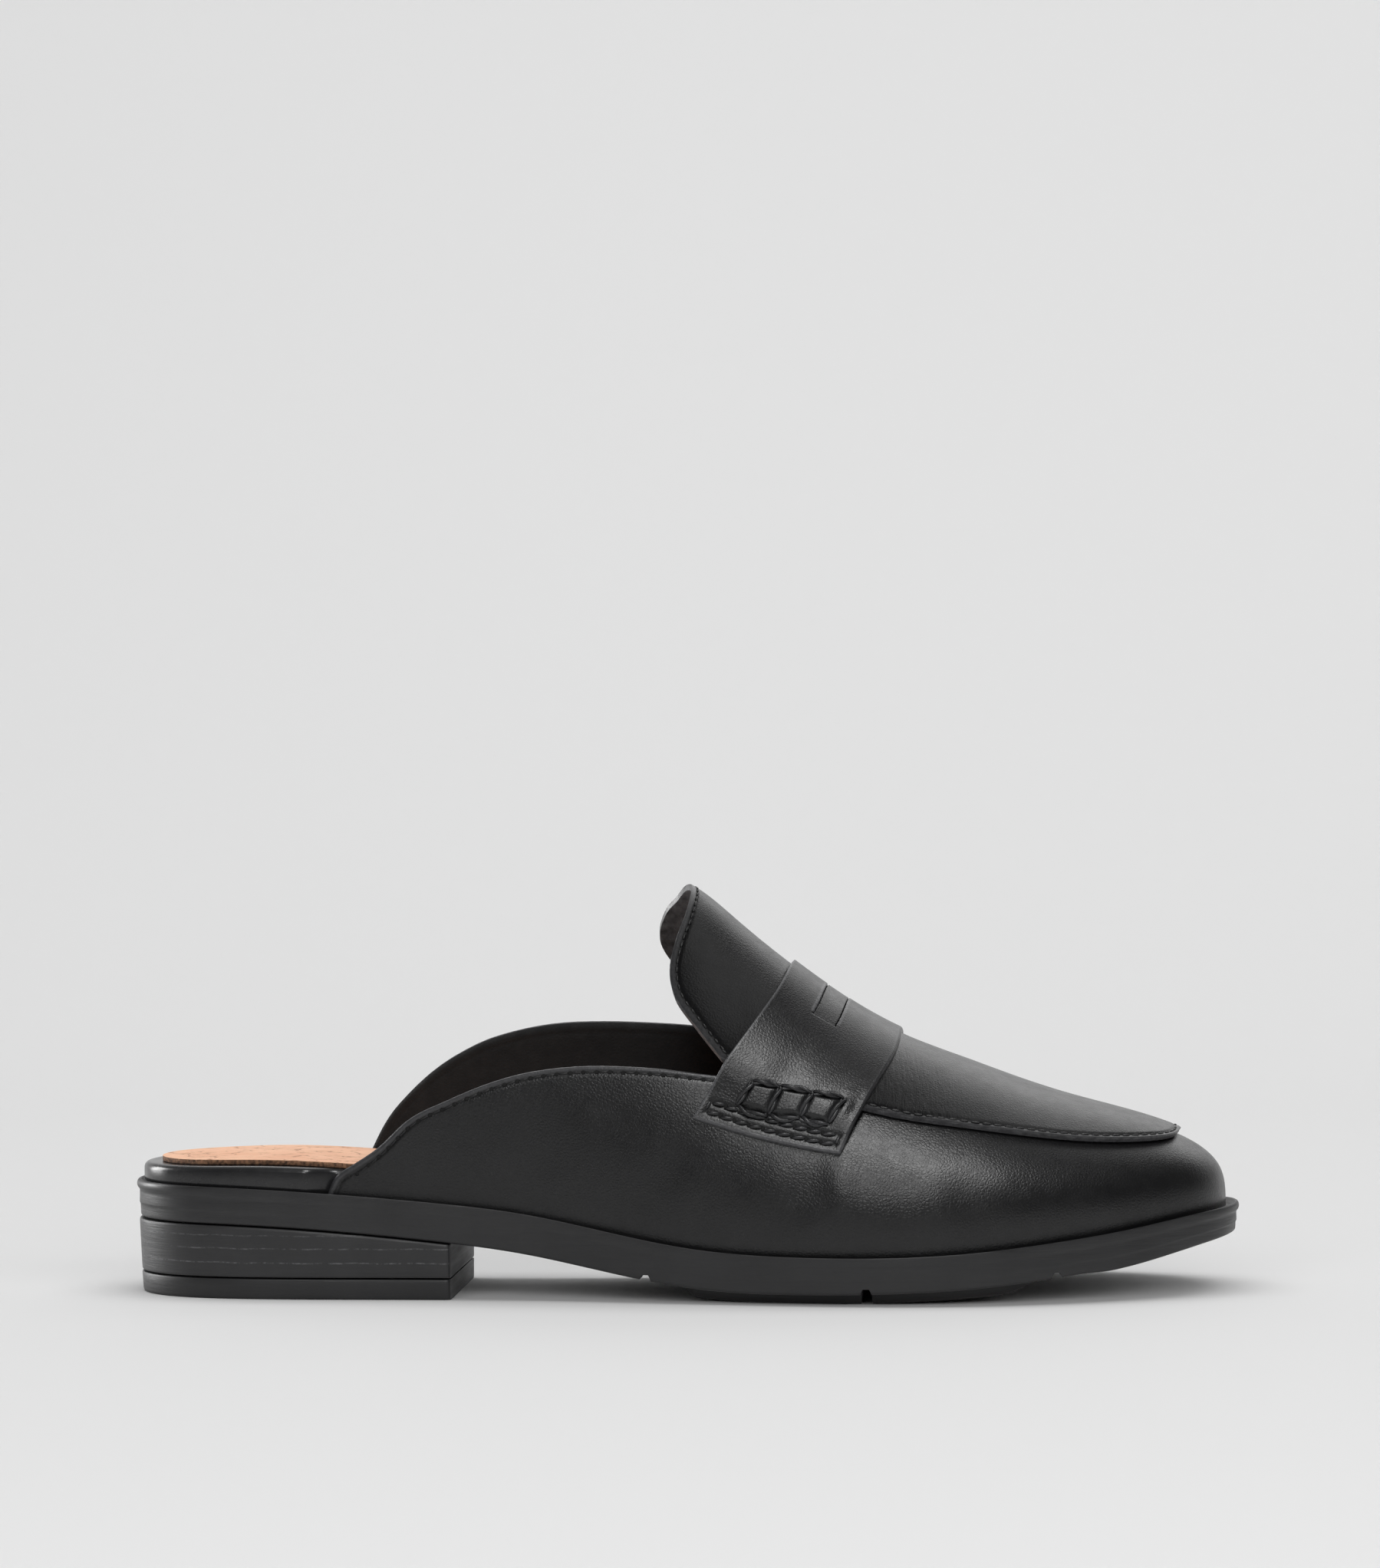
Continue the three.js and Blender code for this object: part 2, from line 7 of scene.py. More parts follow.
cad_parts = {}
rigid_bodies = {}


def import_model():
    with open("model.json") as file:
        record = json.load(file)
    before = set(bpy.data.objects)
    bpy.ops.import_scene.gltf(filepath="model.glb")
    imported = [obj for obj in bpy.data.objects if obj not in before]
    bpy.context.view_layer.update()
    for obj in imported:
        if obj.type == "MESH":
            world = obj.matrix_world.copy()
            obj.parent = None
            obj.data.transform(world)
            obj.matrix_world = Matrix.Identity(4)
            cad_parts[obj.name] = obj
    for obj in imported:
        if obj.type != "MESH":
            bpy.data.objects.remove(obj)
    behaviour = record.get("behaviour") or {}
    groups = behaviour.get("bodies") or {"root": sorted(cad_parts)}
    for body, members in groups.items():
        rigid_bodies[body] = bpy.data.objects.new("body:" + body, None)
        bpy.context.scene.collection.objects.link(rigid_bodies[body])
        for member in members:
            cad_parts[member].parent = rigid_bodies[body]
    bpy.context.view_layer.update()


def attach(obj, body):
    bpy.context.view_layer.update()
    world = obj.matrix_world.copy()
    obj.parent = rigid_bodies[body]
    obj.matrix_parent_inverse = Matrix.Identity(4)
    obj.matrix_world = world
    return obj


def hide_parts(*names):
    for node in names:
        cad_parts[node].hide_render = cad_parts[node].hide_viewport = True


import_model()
mm = 0.001
print("frame loaded")

# --- camera: the photo's place, low on the outer side, with a little roll
photoSize = (1799, 2044)
cameraPlace = {"elevation": 6.0, "yaw": 4.5, "roll": 0.4, "distance": 1.5}
cameraPixels = {"focal": 8137.5, "originX": 894.5, "originY": 1681.0}


def makeCamera():
    e, y, r = (math.radians(cameraPlace[k]) for k in ("elevation", "yaw", "roll"))
    away = Vector((math.sin(y) * math.cos(e), -math.cos(y) * math.cos(e), math.sin(e)))
    right = Vector((math.cos(y), math.sin(y), 0))
    up = away.cross(right)
    rightTurned = right * math.cos(r) - up * math.sin(r)
    upTurned = right * math.sin(r) + up * math.cos(r)
    # aim through the middle of the frame, so no lens shift is needed
    dx = photoSize[0] / 2 - cameraPixels["originX"]
    dy = cameraPixels["originY"] - photoSize[1] / 2
    forward = (-away * cameraPixels["focal"] + rightTurned * dx + upTurned * dy).normalized()
    side = forward.cross(upTurned).normalized()
    turn = Matrix((side, side.cross(forward), -forward)).transposed().to_4x4()
    lens = bpy.data.cameras.new("camera")
    cam = bpy.data.objects.new("camera", lens)
    bpy.context.scene.collection.objects.link(cam)
    cam.matrix_world = Matrix.Translation(away * cameraPlace["distance"]) @ turn
    lens.sensor_fit, lens.sensor_height = "VERTICAL", 24
    focal = cameraPixels["focal"] * math.cos(math.atan2(dy, cameraPixels["focal"]))
    lens.lens = lens.sensor_height * focal / photoSize[1]
    lens.clip_start, lens.clip_end = 0.05, 30
    bpy.context.scene.camera = cam


makeCamera()

# --- the shoe's sizes in millimetres, the same as the solids
size = {
    "soleLength": 265, "ballWidth": 88, "heelWidth": 57, "heelRimHeight": 27, "soleThickness": 9.2,
    "topPieceHeight": 4.9, "breastShare": 0.297, "tongueHeight": 96.4,
    "lateralCollar": 55.8, "medialCollar": 64, "upperWall": 1.9, "apron": 1.5, "strap": 1.2,
    "footbed": 5.9, "sock": 1.2, "clearance": 0.3, "bead": 1.5, "beadHeight": 2.4,
    "ledgeDrop": 1.2, "upperInset": 2.9, "randInset": 1.8, "sockInset": 6.2, "heelInset": 0.6,
    "heelLean": 0.5, "padDepth": 2.7, "padInset": 6.5, "belly": 0.12,
}
notchShares = [0.474, 0.671, 0.838]
wingStartAt, collarEndShare, throatShare, tongueJoinAt = 0.291, 0.54, 0.645, 0.536
fanStart, poleShare = 0.62, 0.842

# outline: at, outer reach, inner reach, each a share of the heel's or the ball's width
outlineHeel = [(0, 0, 0), (0.07, 0.225, 0.225), (0.14, 0.392, 0.392), (0.21, 0.478, 0.475),
               (0.28, 0.505, 0.49), (0.35, 0.512, 0.465)]
outlineBall = [(0.42, 0.352, 0.284), (0.48, 0.398, 0.301), (0.54, 0.448, 0.362), (0.6, 0.484, 0.44),
               (0.66, 0.482, 0.495), (0.72, 0.432, 0.503), (0.78, 0.345, 0.461), (0.84, 0.247, 0.389),
               (0.9, 0.14, 0.295), (0.95, 0.036, 0.198), (1, -0.082, 0.082)]
# height of the rim, thickness of the edge and of the footbed, along the length
rimRows = [(0, 1), (0.12, 0.975), (0.2, 0.927), (0.287, 0.855), (0.36, 0.772), (0.45, 0.6), (0.52, 0.482),
           (0.6, 0.43), (0.68, 0.426), (0.76, 0.462), (0.84, 0.543), (0.9, 0.622), (0.96, 0.72), (1, 0.768)]
edgeRows = [(0, 0.98), (0.2, 0.98), (0.4, 1.05), (0.55, 1.01), (0.7, 0.93), (0.85, 0.92), (1, 0.76)]
footbedRows = [(0, 0.85), (0.06, 0.9), (0.12, 1.03), (0.2, 1.12), (0.3, 1.1), (0.5, 1), (1, 0.88)]
# top line of the last, its shift to the inner side, and how square its sections are
ridgeRows = [(0.15, 1.04), (0.3, 1.045), (0.42, 1.035), (0.47, 1.02), (0.503, 0.992), (0.545, 0.902),
             (0.6, 0.779), (0.65, 0.683), (0.7, 0.609), (0.75, 0.555), (0.8, 0.503), (0.85, 0.458),
             (0.9, 0.426), (0.95, 0.404), (1, 0.39)]
ridgeSideRows = [(0, 0), (0.45, 0), (0.6, 0.01), (0.7, 0.03), (0.84, 0.06), (1, 0.07)]
squareRows = [(0.2, 2.7), (0.4, 2.25), (0.5, 1.92), (0.58, 1.86), (0.66, 2.05), (0.75, 2.3), (0.87, 2.7),
              (1, 3)]
# collar edge: share of the length, height as a share of the outer and the inner collar
collarOuter = [(0.195, 0.44), (0.2015, 0.52), (0.215, 0.575), (0.231, 0.637), (0.26, 0.768),
               (0.295, 0.851), (0.332, 0.924), (0.37, 0.974), (0.42, 1), (0.48, 0.993), (0.54, 0.965)]
collarInner = [(0.195, 0.42), (0.202, 0.48), (0.216, 0.594), (0.23, 0.672), (0.258, 0.785), (0.286, 0.865),
               (0.32, 0.931), (0.37, 0.98), (0.42, 0.992), (0.48, 0.984), (0.54, 0.966)]
# apron seam: at, level between feather and ridge on the outer and the inner side
seamOuter = [(0.45, 0.56), (0.525, 0.585), (0.565, 0.615), (0.61, 0.652), (0.656, 0.687), (0.711, 0.727),
             (0.8, 0.776), (0.9, 0.828), (1, 0.885)]
seamInner = [(0.45, 0.62), (0.525, 0.65), (0.565, 0.662), (0.61, 0.68), (0.656, 0.7), (0.711, 0.73),
             (0.8, 0.776), (0.9, 0.828), (1, 0.885)]
# rear edge of the tongue from its outer to its inner corner
tongueRows = [(-1, 0.541), (-0.93, 0.52), (-0.85, 0.5), (-0.74, 0.4935), (-0.6, 0.4975), (-0.42, 0.505),
              (-0.2, 0.5085), (0, 0.507), (0.2, 0.5), (0.38, 0.4915), (0.51, 0.481), (0.645, 0.474),
              (0.73, 0.475), (0.82, 0.486), (0.91, 0.506), (1, 0.537)]
# strap: angle down from the ridge, rear edge and front edge as shares of the length
strapRows = [(0, 0.6, 0.697), (0.14, 0.597, 0.697), (0.28, 0.59, 0.693), (0.41, 0.576, 0.683),
             (0.52, 0.559, 0.671), (0.62, 0.54, 0.658), (0.74, 0.515, 0.641)]
hemShares, slotHalf, slotSpan, strapSettle = (0.737, 0.695), 0.31, (0.31, 0.51), (0.574, 0.69)
slotEnd = slotHalf / hemShares[0]


def columnsOf(rows, column):
    return np.array([row[0] for row in rows], float), np.array([row[column] for row in rows], float)


def splineThrough(rows, column=1):
    # natural cubic spline: its second slopes m solve h0*m0 + 2(h0+h1)*m1 + h1*m2 = 6*(d1 - d0)
    xs, ys = columnsOf(rows, column)
    h, n = np.diff(xs), len(xs)
    d = np.diff(ys) / h
    a, b = np.eye(n), np.zeros(n)
    for k in range(1, n - 1):
        a[k, k - 1:k + 2] = (h[k - 1], 2 * (h[k - 1] + h[k]), h[k])
        b[k] = 6 * (d[k] - d[k - 1])
    m = np.linalg.solve(a, b)

    def at(x):
        x = np.clip(x, xs[0], xs[-1])
        i = np.clip(np.searchsorted(xs, x) - 1, 0, n - 2)
        l, r, w = x - xs[i], xs[i + 1] - x, h[i]
        return ((m[i] * r ** 3 + m[i + 1] * l ** 3) / (6 * w)
                + (ys[i] / w - m[i] * w / 6) * r + (ys[i + 1] / w - m[i + 1] * w / 6) * l)
    return at


def cubicThrough(rows, column=1):
    # cubic whose slope at a row is taken from the rows on either side
    xs, ys = columnsOf(rows, column)
    low, high = np.maximum(np.arange(len(xs)) - 1, 0), np.minimum(np.arange(len(xs)) + 1, len(xs) - 1)
    slope = (ys[high] - ys[low]) / (xs[high] - xs[low])

    def at(x):
        x = np.clip(x, xs[0], xs[-1])
        i = np.clip(np.searchsorted(xs, x) - 1, 0, len(xs) - 2)
        w = xs[i + 1] - xs[i]
        t = (x - xs[i]) / w
        r = 1 - t
        return (ys[i] * (1 + 2 * t) * r * r + ys[i + 1] * t * t * (3 - 2 * t)
                + slope[i] * w * t * r * r - slope[i + 1] * w * t * t * r)
    return at


def mix(a, b, t):
    return a + (b - a) * t


def smoothStep(start, end, value):
    t = np.clip((np.asarray(value, float) - start) / (end - start), 0, 1)
    return t * t * (3 - 2 * t)


def closedOutline():
    rows = [(at, out * size[width], inn * size[width]) for table, width in
            ((outlineHeel, "heelWidth"), (outlineBall, "ballWidth")) for at, out, inn in table]
    whole = [(at, -out) for at, out, _ in rows] + [(2 - at, inn) for at, _, inn in rows[-2::-1]]
    return splineThrough([(t - 2, y) for t, y in whole[-7:-1]] + whole + [(t + 2, y) for t, y in whole[1:7]])


outlineY = closedOutline()
sideways = outlineY(np.linspace(0, 2, 401))
midSide = (sideways.min() + sideways.max()) / 2
rimTable, edgeTable, footbedTable = (splineThrough(rows) for rows in (rimRows, edgeRows, footbedRows))
ridgeTable, ridgeSideTable, squareTable = (splineThrough(rows) for rows in (ridgeRows, ridgeSideRows, squareRows))
collarTables = [cubicThrough(rows) for rows in (collarOuter, collarInner)]
seamTables = [splineThrough(rows) for rows in (seamOuter, seamInner)]
tongueTable = cubicThrough(tongueRows)
strapRear, strapFront = (splineThrough(strapRows, column) for column in (1, 2))


def lengthShare(at):
    return (1 - np.cos(math.pi * at)) / 2


def atOfShare(share):
    return np.arccos(1 - 2 * np.asarray(share, float)) / math.pi


def fold(turn):
    # "turn" is 0 to 1 on the outer side and 1 to 2 back along the inner one
    return np.where(turn <= 1, turn, 2 - turn)


def shareOfX(x):
    return x / size["soleLength"] + 0.5


def outlinePoint(turn):
    return np.stack([(lengthShare(turn) - 0.5) * size["soleLength"], outlineY(turn) - midSide], -1)


def insetPoint(turn, inset):
    # the outline moved inwards along its own normal (-dy, dx)
    along = outlinePoint(turn + 0.004) - outlinePoint(turn - 0.004)
    along /= np.linalg.norm(along, axis=-1, keepdims=True)
    normal = np.stack([-along[..., 1], along[..., 0]], -1)
    return outlinePoint(turn) + normal * np.asarray(inset)[..., None]


def rimHeight(share):
    return size["heelRimHeight"] * rimTable(share)


def edgeBottom(share):
    return rimHeight(share) - size["soleThickness"] * edgeTable(share)


def featherHeight(share):
    return rimHeight(share) - size["ledgeDrop"] + size["clearance"]


def ridgeHeight(share, offset):
    rise = ridgeTable(share + 0.01) - ridgeTable(share - 0.01)
    slope = size["tongueHeight"] * rise / (0.02 * size["soleLength"])
    return size["tongueHeight"] * ridgeTable(share) + offset * np.hypot(1, slope)


def ridgeShare(at):
    reach = poleShare - lengthShare(fanStart)
    power = (math.pi / 2) * math.sin(math.pi * fanStart) * (1 - fanStart) / reach
    left = np.clip(1 - (at - fanStart) / (1 - fanStart), 0, 1) ** power
    return np.where(at <= fanStart, lengthShare(at), lengthShare(fanStart) + reach * (1 - left))


def lastPoint(turn, angle, offset):
    # section from the feather (angle 0) to the ridge (a quarter turn):
    # x, y = ridge + (foot - ridge) * cos(angle)^(2/n) * (1 + belly), z = base + rise * sin(angle)^(2/n)
    turn, angle, offset = np.broadcast_arrays(np.asarray(turn, float), angle, offset)
    at = fold(turn)
    n = squareTable(at)
    c, s = np.clip(np.cos(angle), 0, 1), np.clip(np.sin(angle), 0, 1)
    belly = size["belly"] * np.sin(math.pi * at) * np.sin(2 * angle) * c ** 4
    wide = c ** (2 / n) * (1 + belly)
    high = s ** (2 / n)
    foot = insetPoint(turn, size["upperInset"] - offset)
    top = ridgeShare(at)
    x = mix((top - 0.5) * size["soleLength"], foot[..., 0], wide)
    y = mix(size["ballWidth"] * ridgeSideTable(top) - midSide, foot[..., 1], wide)
    base = featherHeight(shareOfX(foot[..., 0]))
    return np.stack([x, y, base + (ridgeHeight(shareOfX(x), offset) - base) * high], -1)


def angleOfLevel(at, level):
    return np.arcsin(np.clip(level, 0, 1) ** (squareTable(at) / 2))


def collarAngle(turn):
    share = lengthShare(fold(turn))
    seen = np.minimum(share, collarEndShare)
    height = np.where(turn <= 1, size["lateralCollar"] * collarTables[0](seen),
                      size["medialCollar"] * collarTables[1](seen))
    base = featherHeight(seen)
    level = (height - base) / (ridgeHeight(seen, 0) - base)
    rise = smoothStep(collarEndShare, throatShare, share)
    return mix(angleOfLevel(atOfShare(seen), level), math.pi / 2, rise)


def seamAngle(turn):
    # round the toe's tip the level is a mean over a short way to both sides, so that the two tables meet smoothly
    turn = np.asarray(turn, float)
    reach = 0.035 * smoothStep(0.1, 0, np.abs(turn - 1))
    level = 0
    for step in np.linspace(-1, 1, 9):
        near = turn + step * reach
        at = fold(near)
        level = level + np.where(near <= 1, seamTables[0](at), seamTables[1](at)) / 9
    return angleOfLevel(fold(turn), level)


def distanceTo(points, line):
    # nearest distance of each point to a densely sampled line
    flat = points.reshape(-1, 3)
    best = np.full(len(flat), 1e9)
    for start in range(0, len(line), 64):
        part = line[start:start + 64]
        best = np.minimum(best, ((flat[:, None] - part[None]) ** 2).sum(-1).min(1))
    return np.sqrt(best).reshape(points.shape[:-1])


def unit(v):
    return v / np.maximum(np.linalg.norm(v, axis=-1, keepdims=True), 1e-12)


# --- building meshes
def newCollection(name, pieces=()):
    made = bpy.data.collections.new(name)
    bpy.context.scene.collection.children.link(made)
    for piece in pieces:
        made.objects.link(piece)
    return made


shoe = newCollection("shoe")


def smoothMesh(name, corners, polygons):
    mesh = bpy.data.meshes.new(name)
    mesh.from_pydata(corners.tolist(), [], polygons)
    mesh.polygons.foreach_set("use_smooth", np.full(len(mesh.polygons), True))
    return mesh


def makePiece(name, points, faces, materials, faceMaterial=None, sharpAngle=40, marks=None):
    # corners closer than a micrometre are one, and a face that loses one edge by it becomes a triangle
    keys = np.round(points * 1000).astype(np.int64)
    _, first, index = np.unique(keys, axis=0, return_index=True, return_inverse=True)
    faces = index.reshape(-1)[faces]
    edges = faces != np.roll(faces, -1, axis=1)
    whole = edges.all(1) & (faces[:, 0] != faces[:, 2]) & (faces[:, 1] != faces[:, 3])
    slim = edges.sum(1) == 3
    corners = points[first] * mm
    # faces look outwards: a closed shape whose volume comes out negative is turned round
    a, b, c, d = (corners[faces[whole][:, k]] for k in range(4))
    if (a * np.cross(b, c)).sum() + (a * np.cross(c, d)).sum() < 0:
        faces = faces[:, ::-1]
    thin = faces[slim]
    thin = thin[thin != np.roll(thin, -1, axis=1)].reshape(-1, 3)
    mesh = smoothMesh(name, corners, faces[whole].tolist() + thin.tolist())
    for material in materials:
        mesh.materials.append(material)
    if faceMaterial is not None:
        slots = np.concatenate([faceMaterial[whole], faceMaterial[slim]])
        mesh.polygons.foreach_set("material_index", slots.astype(np.int32))
    mesh.update()
    mesh.set_sharp_from_angle(angle=math.radians(sharpAngle))
    for mark, values in (marks or {}).items():
        mesh.attributes.new(mark, "FLOAT", "POINT").data.foreach_set("value", np.asarray(values, np.float32)[first])
    piece = bpy.data.objects.new(name, mesh)
    shoe.objects.link(piece)
    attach(piece, "root")
    return piece


def gridFaces(rows, columns, start=0, wrap=False):
    i = np.arange(rows - 1)[:, None]
    j = np.arange(columns if wrap else columns - 1)[None]
    k = (j + 1) % columns
    quads = np.stack([i * columns + j, i * columns + k, (i + 1) * columns + k, (i + 1) * columns + j], -1)
    return quads.reshape(-1, 4) + start


def tubeFaces(rows, columns, count):
    # faces of equal closed grids, one after the other
    one = gridFaces(rows, columns, wrap=True)
    return (one[None] + (np.arange(count) * rows * columns)[:, None, None]).reshape(-1, 4)


def wallPoints(outer, inner):
    return np.concatenate([outer.reshape(-1, 3), inner.reshape(-1, 3)])


def onBoth(mark):
    # the same mark on the outer and the inner grid
    return np.tile(mark.reshape(-1), 2)


def shellFaces(keep):
    # faces of a wall between two grids of the same shape: outer, inner and the rim round kept cells
    rows, columns = keep.shape[0] + 1, keep.shape[1] + 1
    count = rows * columns
    i, j = np.nonzero(keep)
    a, b = i * columns + j, (i + 1) * columns + j
    c, d = b + 1, a + 1
    padded = np.pad(keep, 1)
    rims = []
    for shiftI, shiftJ, start, end in ((-1, 0, a, d), (1, 0, c, b), (0, -1, b, a), (0, 1, d, c)):
        edge = ~padded[i + 1 + shiftI, j + 1 + shiftJ]
        rims.append(np.stack([start[edge], end[edge], end[edge] + count, start[edge] + count], -1))
    return np.stack([a, b, c, d], -1), np.stack([a, d, c, b], -1) + count, np.concatenate(rims)


def slabPiece(name, ats, insets, heights, materials, caps=14, endCap=False, shapeRow=None, edgeFrom=None):
    # each row has the same profile on both sides, joined across the top and the underside
    at = ats[:, None]
    inset = insets(at) if callable(insets) else insets + 0 * at
    sides = []
    for turn in (at, 2 - at):
        flat = insetPoint(turn + 0 * inset, inset)
        sides.append(np.concatenate([flat, heights(shareOfX(flat[..., 0]))[..., None]], -1))
    outer, inner = sides
    t = np.linspace(0, 1, caps + 1)[None, :, None]
    under = mix(outer[:, -1:], inner[:, -1:], t[:, 1:-1])
    over = mix(inner[:, :1], outer[:, :1], t[:, 1:-1])
    grid = np.concatenate([outer, under, inner[:, ::-1], over], 1)
    if shapeRow is not None:
        grid = shapeRow(grid)
    rows, columns = grid.shape[:2]
    count = outer.shape[1]
    farSide = count + caps - 1
    faces = gridFaces(rows, columns, wrap=True)
    points = grid.reshape(-1, 3)
    slots = None
    if endCap:
        left, right = grid[-1, :count], grid[-1, farSide:farSide + count][::-1]
        cap = mix(left[:, None], right[:, None], t)
        faces = np.concatenate([faces, gridFaces(count, caps + 1, len(points))[:, ::-1]])
        points = np.concatenate([points, cap.reshape(-1, 3)])
        slots = np.zeros(len(faces), int)
        slots[-(count - 1) * caps:] = 1
    if edgeFrom is not None:
        # the edge, from this column of the profile down on both sides, takes the second material
        column = faces.min(1) % columns
        near = (column >= edgeFrom) & (column < count)
        slots = (near | ((column >= farSide) & (column < farSide + count - 1 - edgeFrom))).astype(int)
    return makePiece(name, points, faces, materials, slots)


# --- materials
def linear(hexColour):
    # sRGB hex to linear light
    value = hexColour.lstrip("#")
    parts = [int(value[k:k + 2], 16) / 255 for k in (0, 2, 4)]
    return tuple(c / 12.92 if c <= 0.04045 else ((c + 0.055) / 1.055) ** 2.4 for c in parts) + (1,)


def plugIn(tree, node, inputs):
    for key, value in inputs.items():
        if isinstance(value, bpy.types.NodeSocket):
            tree.links.new(value, node.inputs[key])
        else:
            node.inputs[key].default_value = value


def addNode(tree, kind, settings=None, inputs=None):
    node = tree.nodes.new(kind)
    for key, value in (settings or {}).items():
        setattr(node, key, value)
    plugIn(tree, node, inputs or {})
    return node


def newMaterial(name):
    # patterns are laid out in millimetres of the object
    material = bpy.data.materials.new(name)
    material.use_nodes = True
    tree = material.node_tree
    place = addNode(tree, "ShaderNodeTexCoord").outputs["Object"]
    where = addNode(tree, "ShaderNodeVectorMath", {"operation": "SCALE"}, {0: place, "Scale": 1000.0}).outputs[0]
    return material, tree, tree.nodes["Principled BSDF"], where


def noiseOf(tree, where, scale, detail=2.0, rough=0.5, warp=0.0):
    return addNode(tree, "ShaderNodeTexNoise", None, {
        "Vector": where, "Scale": scale, "Detail": detail, "Roughness": rough, "Distortion": warp}).outputs[0]


def rampOf(tree, value, stops):
    ramp = addNode(tree, "ShaderNodeValToRGB", None, {0: value})
    bar = ramp.color_ramp
    while len(bar.elements) < len(stops):
        bar.elements.new(0.5)
    for element, (place, colour) in zip(bar.elements, stops):
        element.position = place
        element.color = colour
    return ramp.outputs[0]


def spanOf(tree, value, low, high, start=0.0, end=1.0):
    return addNode(tree, "ShaderNodeMapRange", None, {
        "Value": value, "From Min": start, "From Max": end, "To Min": low, "To Max": high}).outputs[0]


def bumpOf(tree, height, distance, normal=None):
    inputs = {"Height": height, "Distance": distance * mm, "Strength": 1.0}
    if normal is not None:
        inputs["Normal"] = normal
    return addNode(tree, "ShaderNodeBump", None, inputs).outputs[0]


def mathOf(tree, operation, a, b):
    return addNode(tree, "ShaderNodeMath", {"operation": operation}, {0: a, 1: b}).outputs[0]


def cellsOf(tree, where, scale):
    # distance to the borders of a net of cells
    return addNode(tree, "ShaderNodeTexVoronoi", {"feature": "DISTANCE_TO_EDGE"},
                   {"Vector": where, "Scale": scale}).outputs[0]


def markOf(tree, name):
    return addNode(tree, "ShaderNodeAttribute", {"attribute_name": name}).outputs["Fac"]


def dyed(tree, cloud, dark, light):
    return rampOf(tree, cloud, [(0.3, linear(dark)), (0.7, linear(light))])


def scaledBy(tree, where, amounts):
    # stretches a pattern: a small amount along an axis draws it out that way
    return addNode(tree, "ShaderNodeVectorMath", {"operation": "MULTIPLY"}, {0: where, 1: amounts}).outputs[0]


def mixed(tree, share, low, high):
    return addNode(tree, "ShaderNodeMix", {"data_type": "RGBA"}, {0: share, 6: low, 7: high}).outputs[2]


black, white = (0, 0, 0, 1), (1, 1, 1, 1)


def leatherMaterial(name, look):
    # smooth dyed calf leather: shallow pores under a thin finish, so the gloss is soft and a little uneven
    material, tree, shader, where = newMaterial(name)
    tone = dyed(tree, noiseOf(tree, where, look["cloudPerMm"], 3.0), look["dark"], look["light"])
    if "edge" in look:
        # the edge is painted paler: partly the real paler core of the cut leather through a thin paint, partly painted
        # highlight where the rounded edge catches light
        patchy = spanOf(tree, noiseOf(tree, where, 0.8, 3.0, 0.6), 0.55, 1.0, 0.3, 0.7)
        tone = mixed(tree, mathOf(tree, "MULTIPLY", markOf(tree, "edge"), patchy), tone, linear(look["edge"]))
    pores = spanOf(tree, cellsOf(tree, where, look["grainPerMm"]), 0.0, 1.0, 0.0, 0.3)
    normal = bumpOf(tree, noiseOf(tree, where, look["wavePerMm"], 2.0), look["waveDepth"])
    normal = bumpOf(tree, pores, look["grainDepth"], normal)
    normal = bumpOf(tree, noiseOf(tree, where, look["finePerMm"], 2.0, 0.6), look["fineDepth"], normal)
    if "pull" in look:
        # fine pulls where the apron is drawn down in front of the strap
        strands = noiseOf(tree, scaledBy(tree, where, look["pull"]), 1.0, 3.0, 0.6, 0.4)
        normal = bumpOf(tree, mathOf(tree, "MULTIPLY", strands, markOf(tree, "pull")), look["pullDepth"], normal)
    gloss = spanOf(tree, noiseOf(tree, where, look["glossPerMm"], 3.0, 0.6), look["glossy"], look["matt"], 0.3, 0.7)
    plugIn(tree, shader, {"Base Color": tone, "Roughness": gloss, "Normal": normal, "IOR": 1.5})
    return material


smoothLeather = {
    "dark": "#0c0c0d", "light": "#131314", "cloudPerMm": 0.05, "finePerMm": 4.0, "fineDepth": 0.022,
    "grainPerMm": 1.25, "grainDepth": 0.025, "wavePerMm": 0.07, "waveDepth": 0.1,
    "glossPerMm": 0.3, "glossy": 0.3, "matt": 0.38,
}
lineHeights, lineHalf = (4.0, 24.0), 0.011


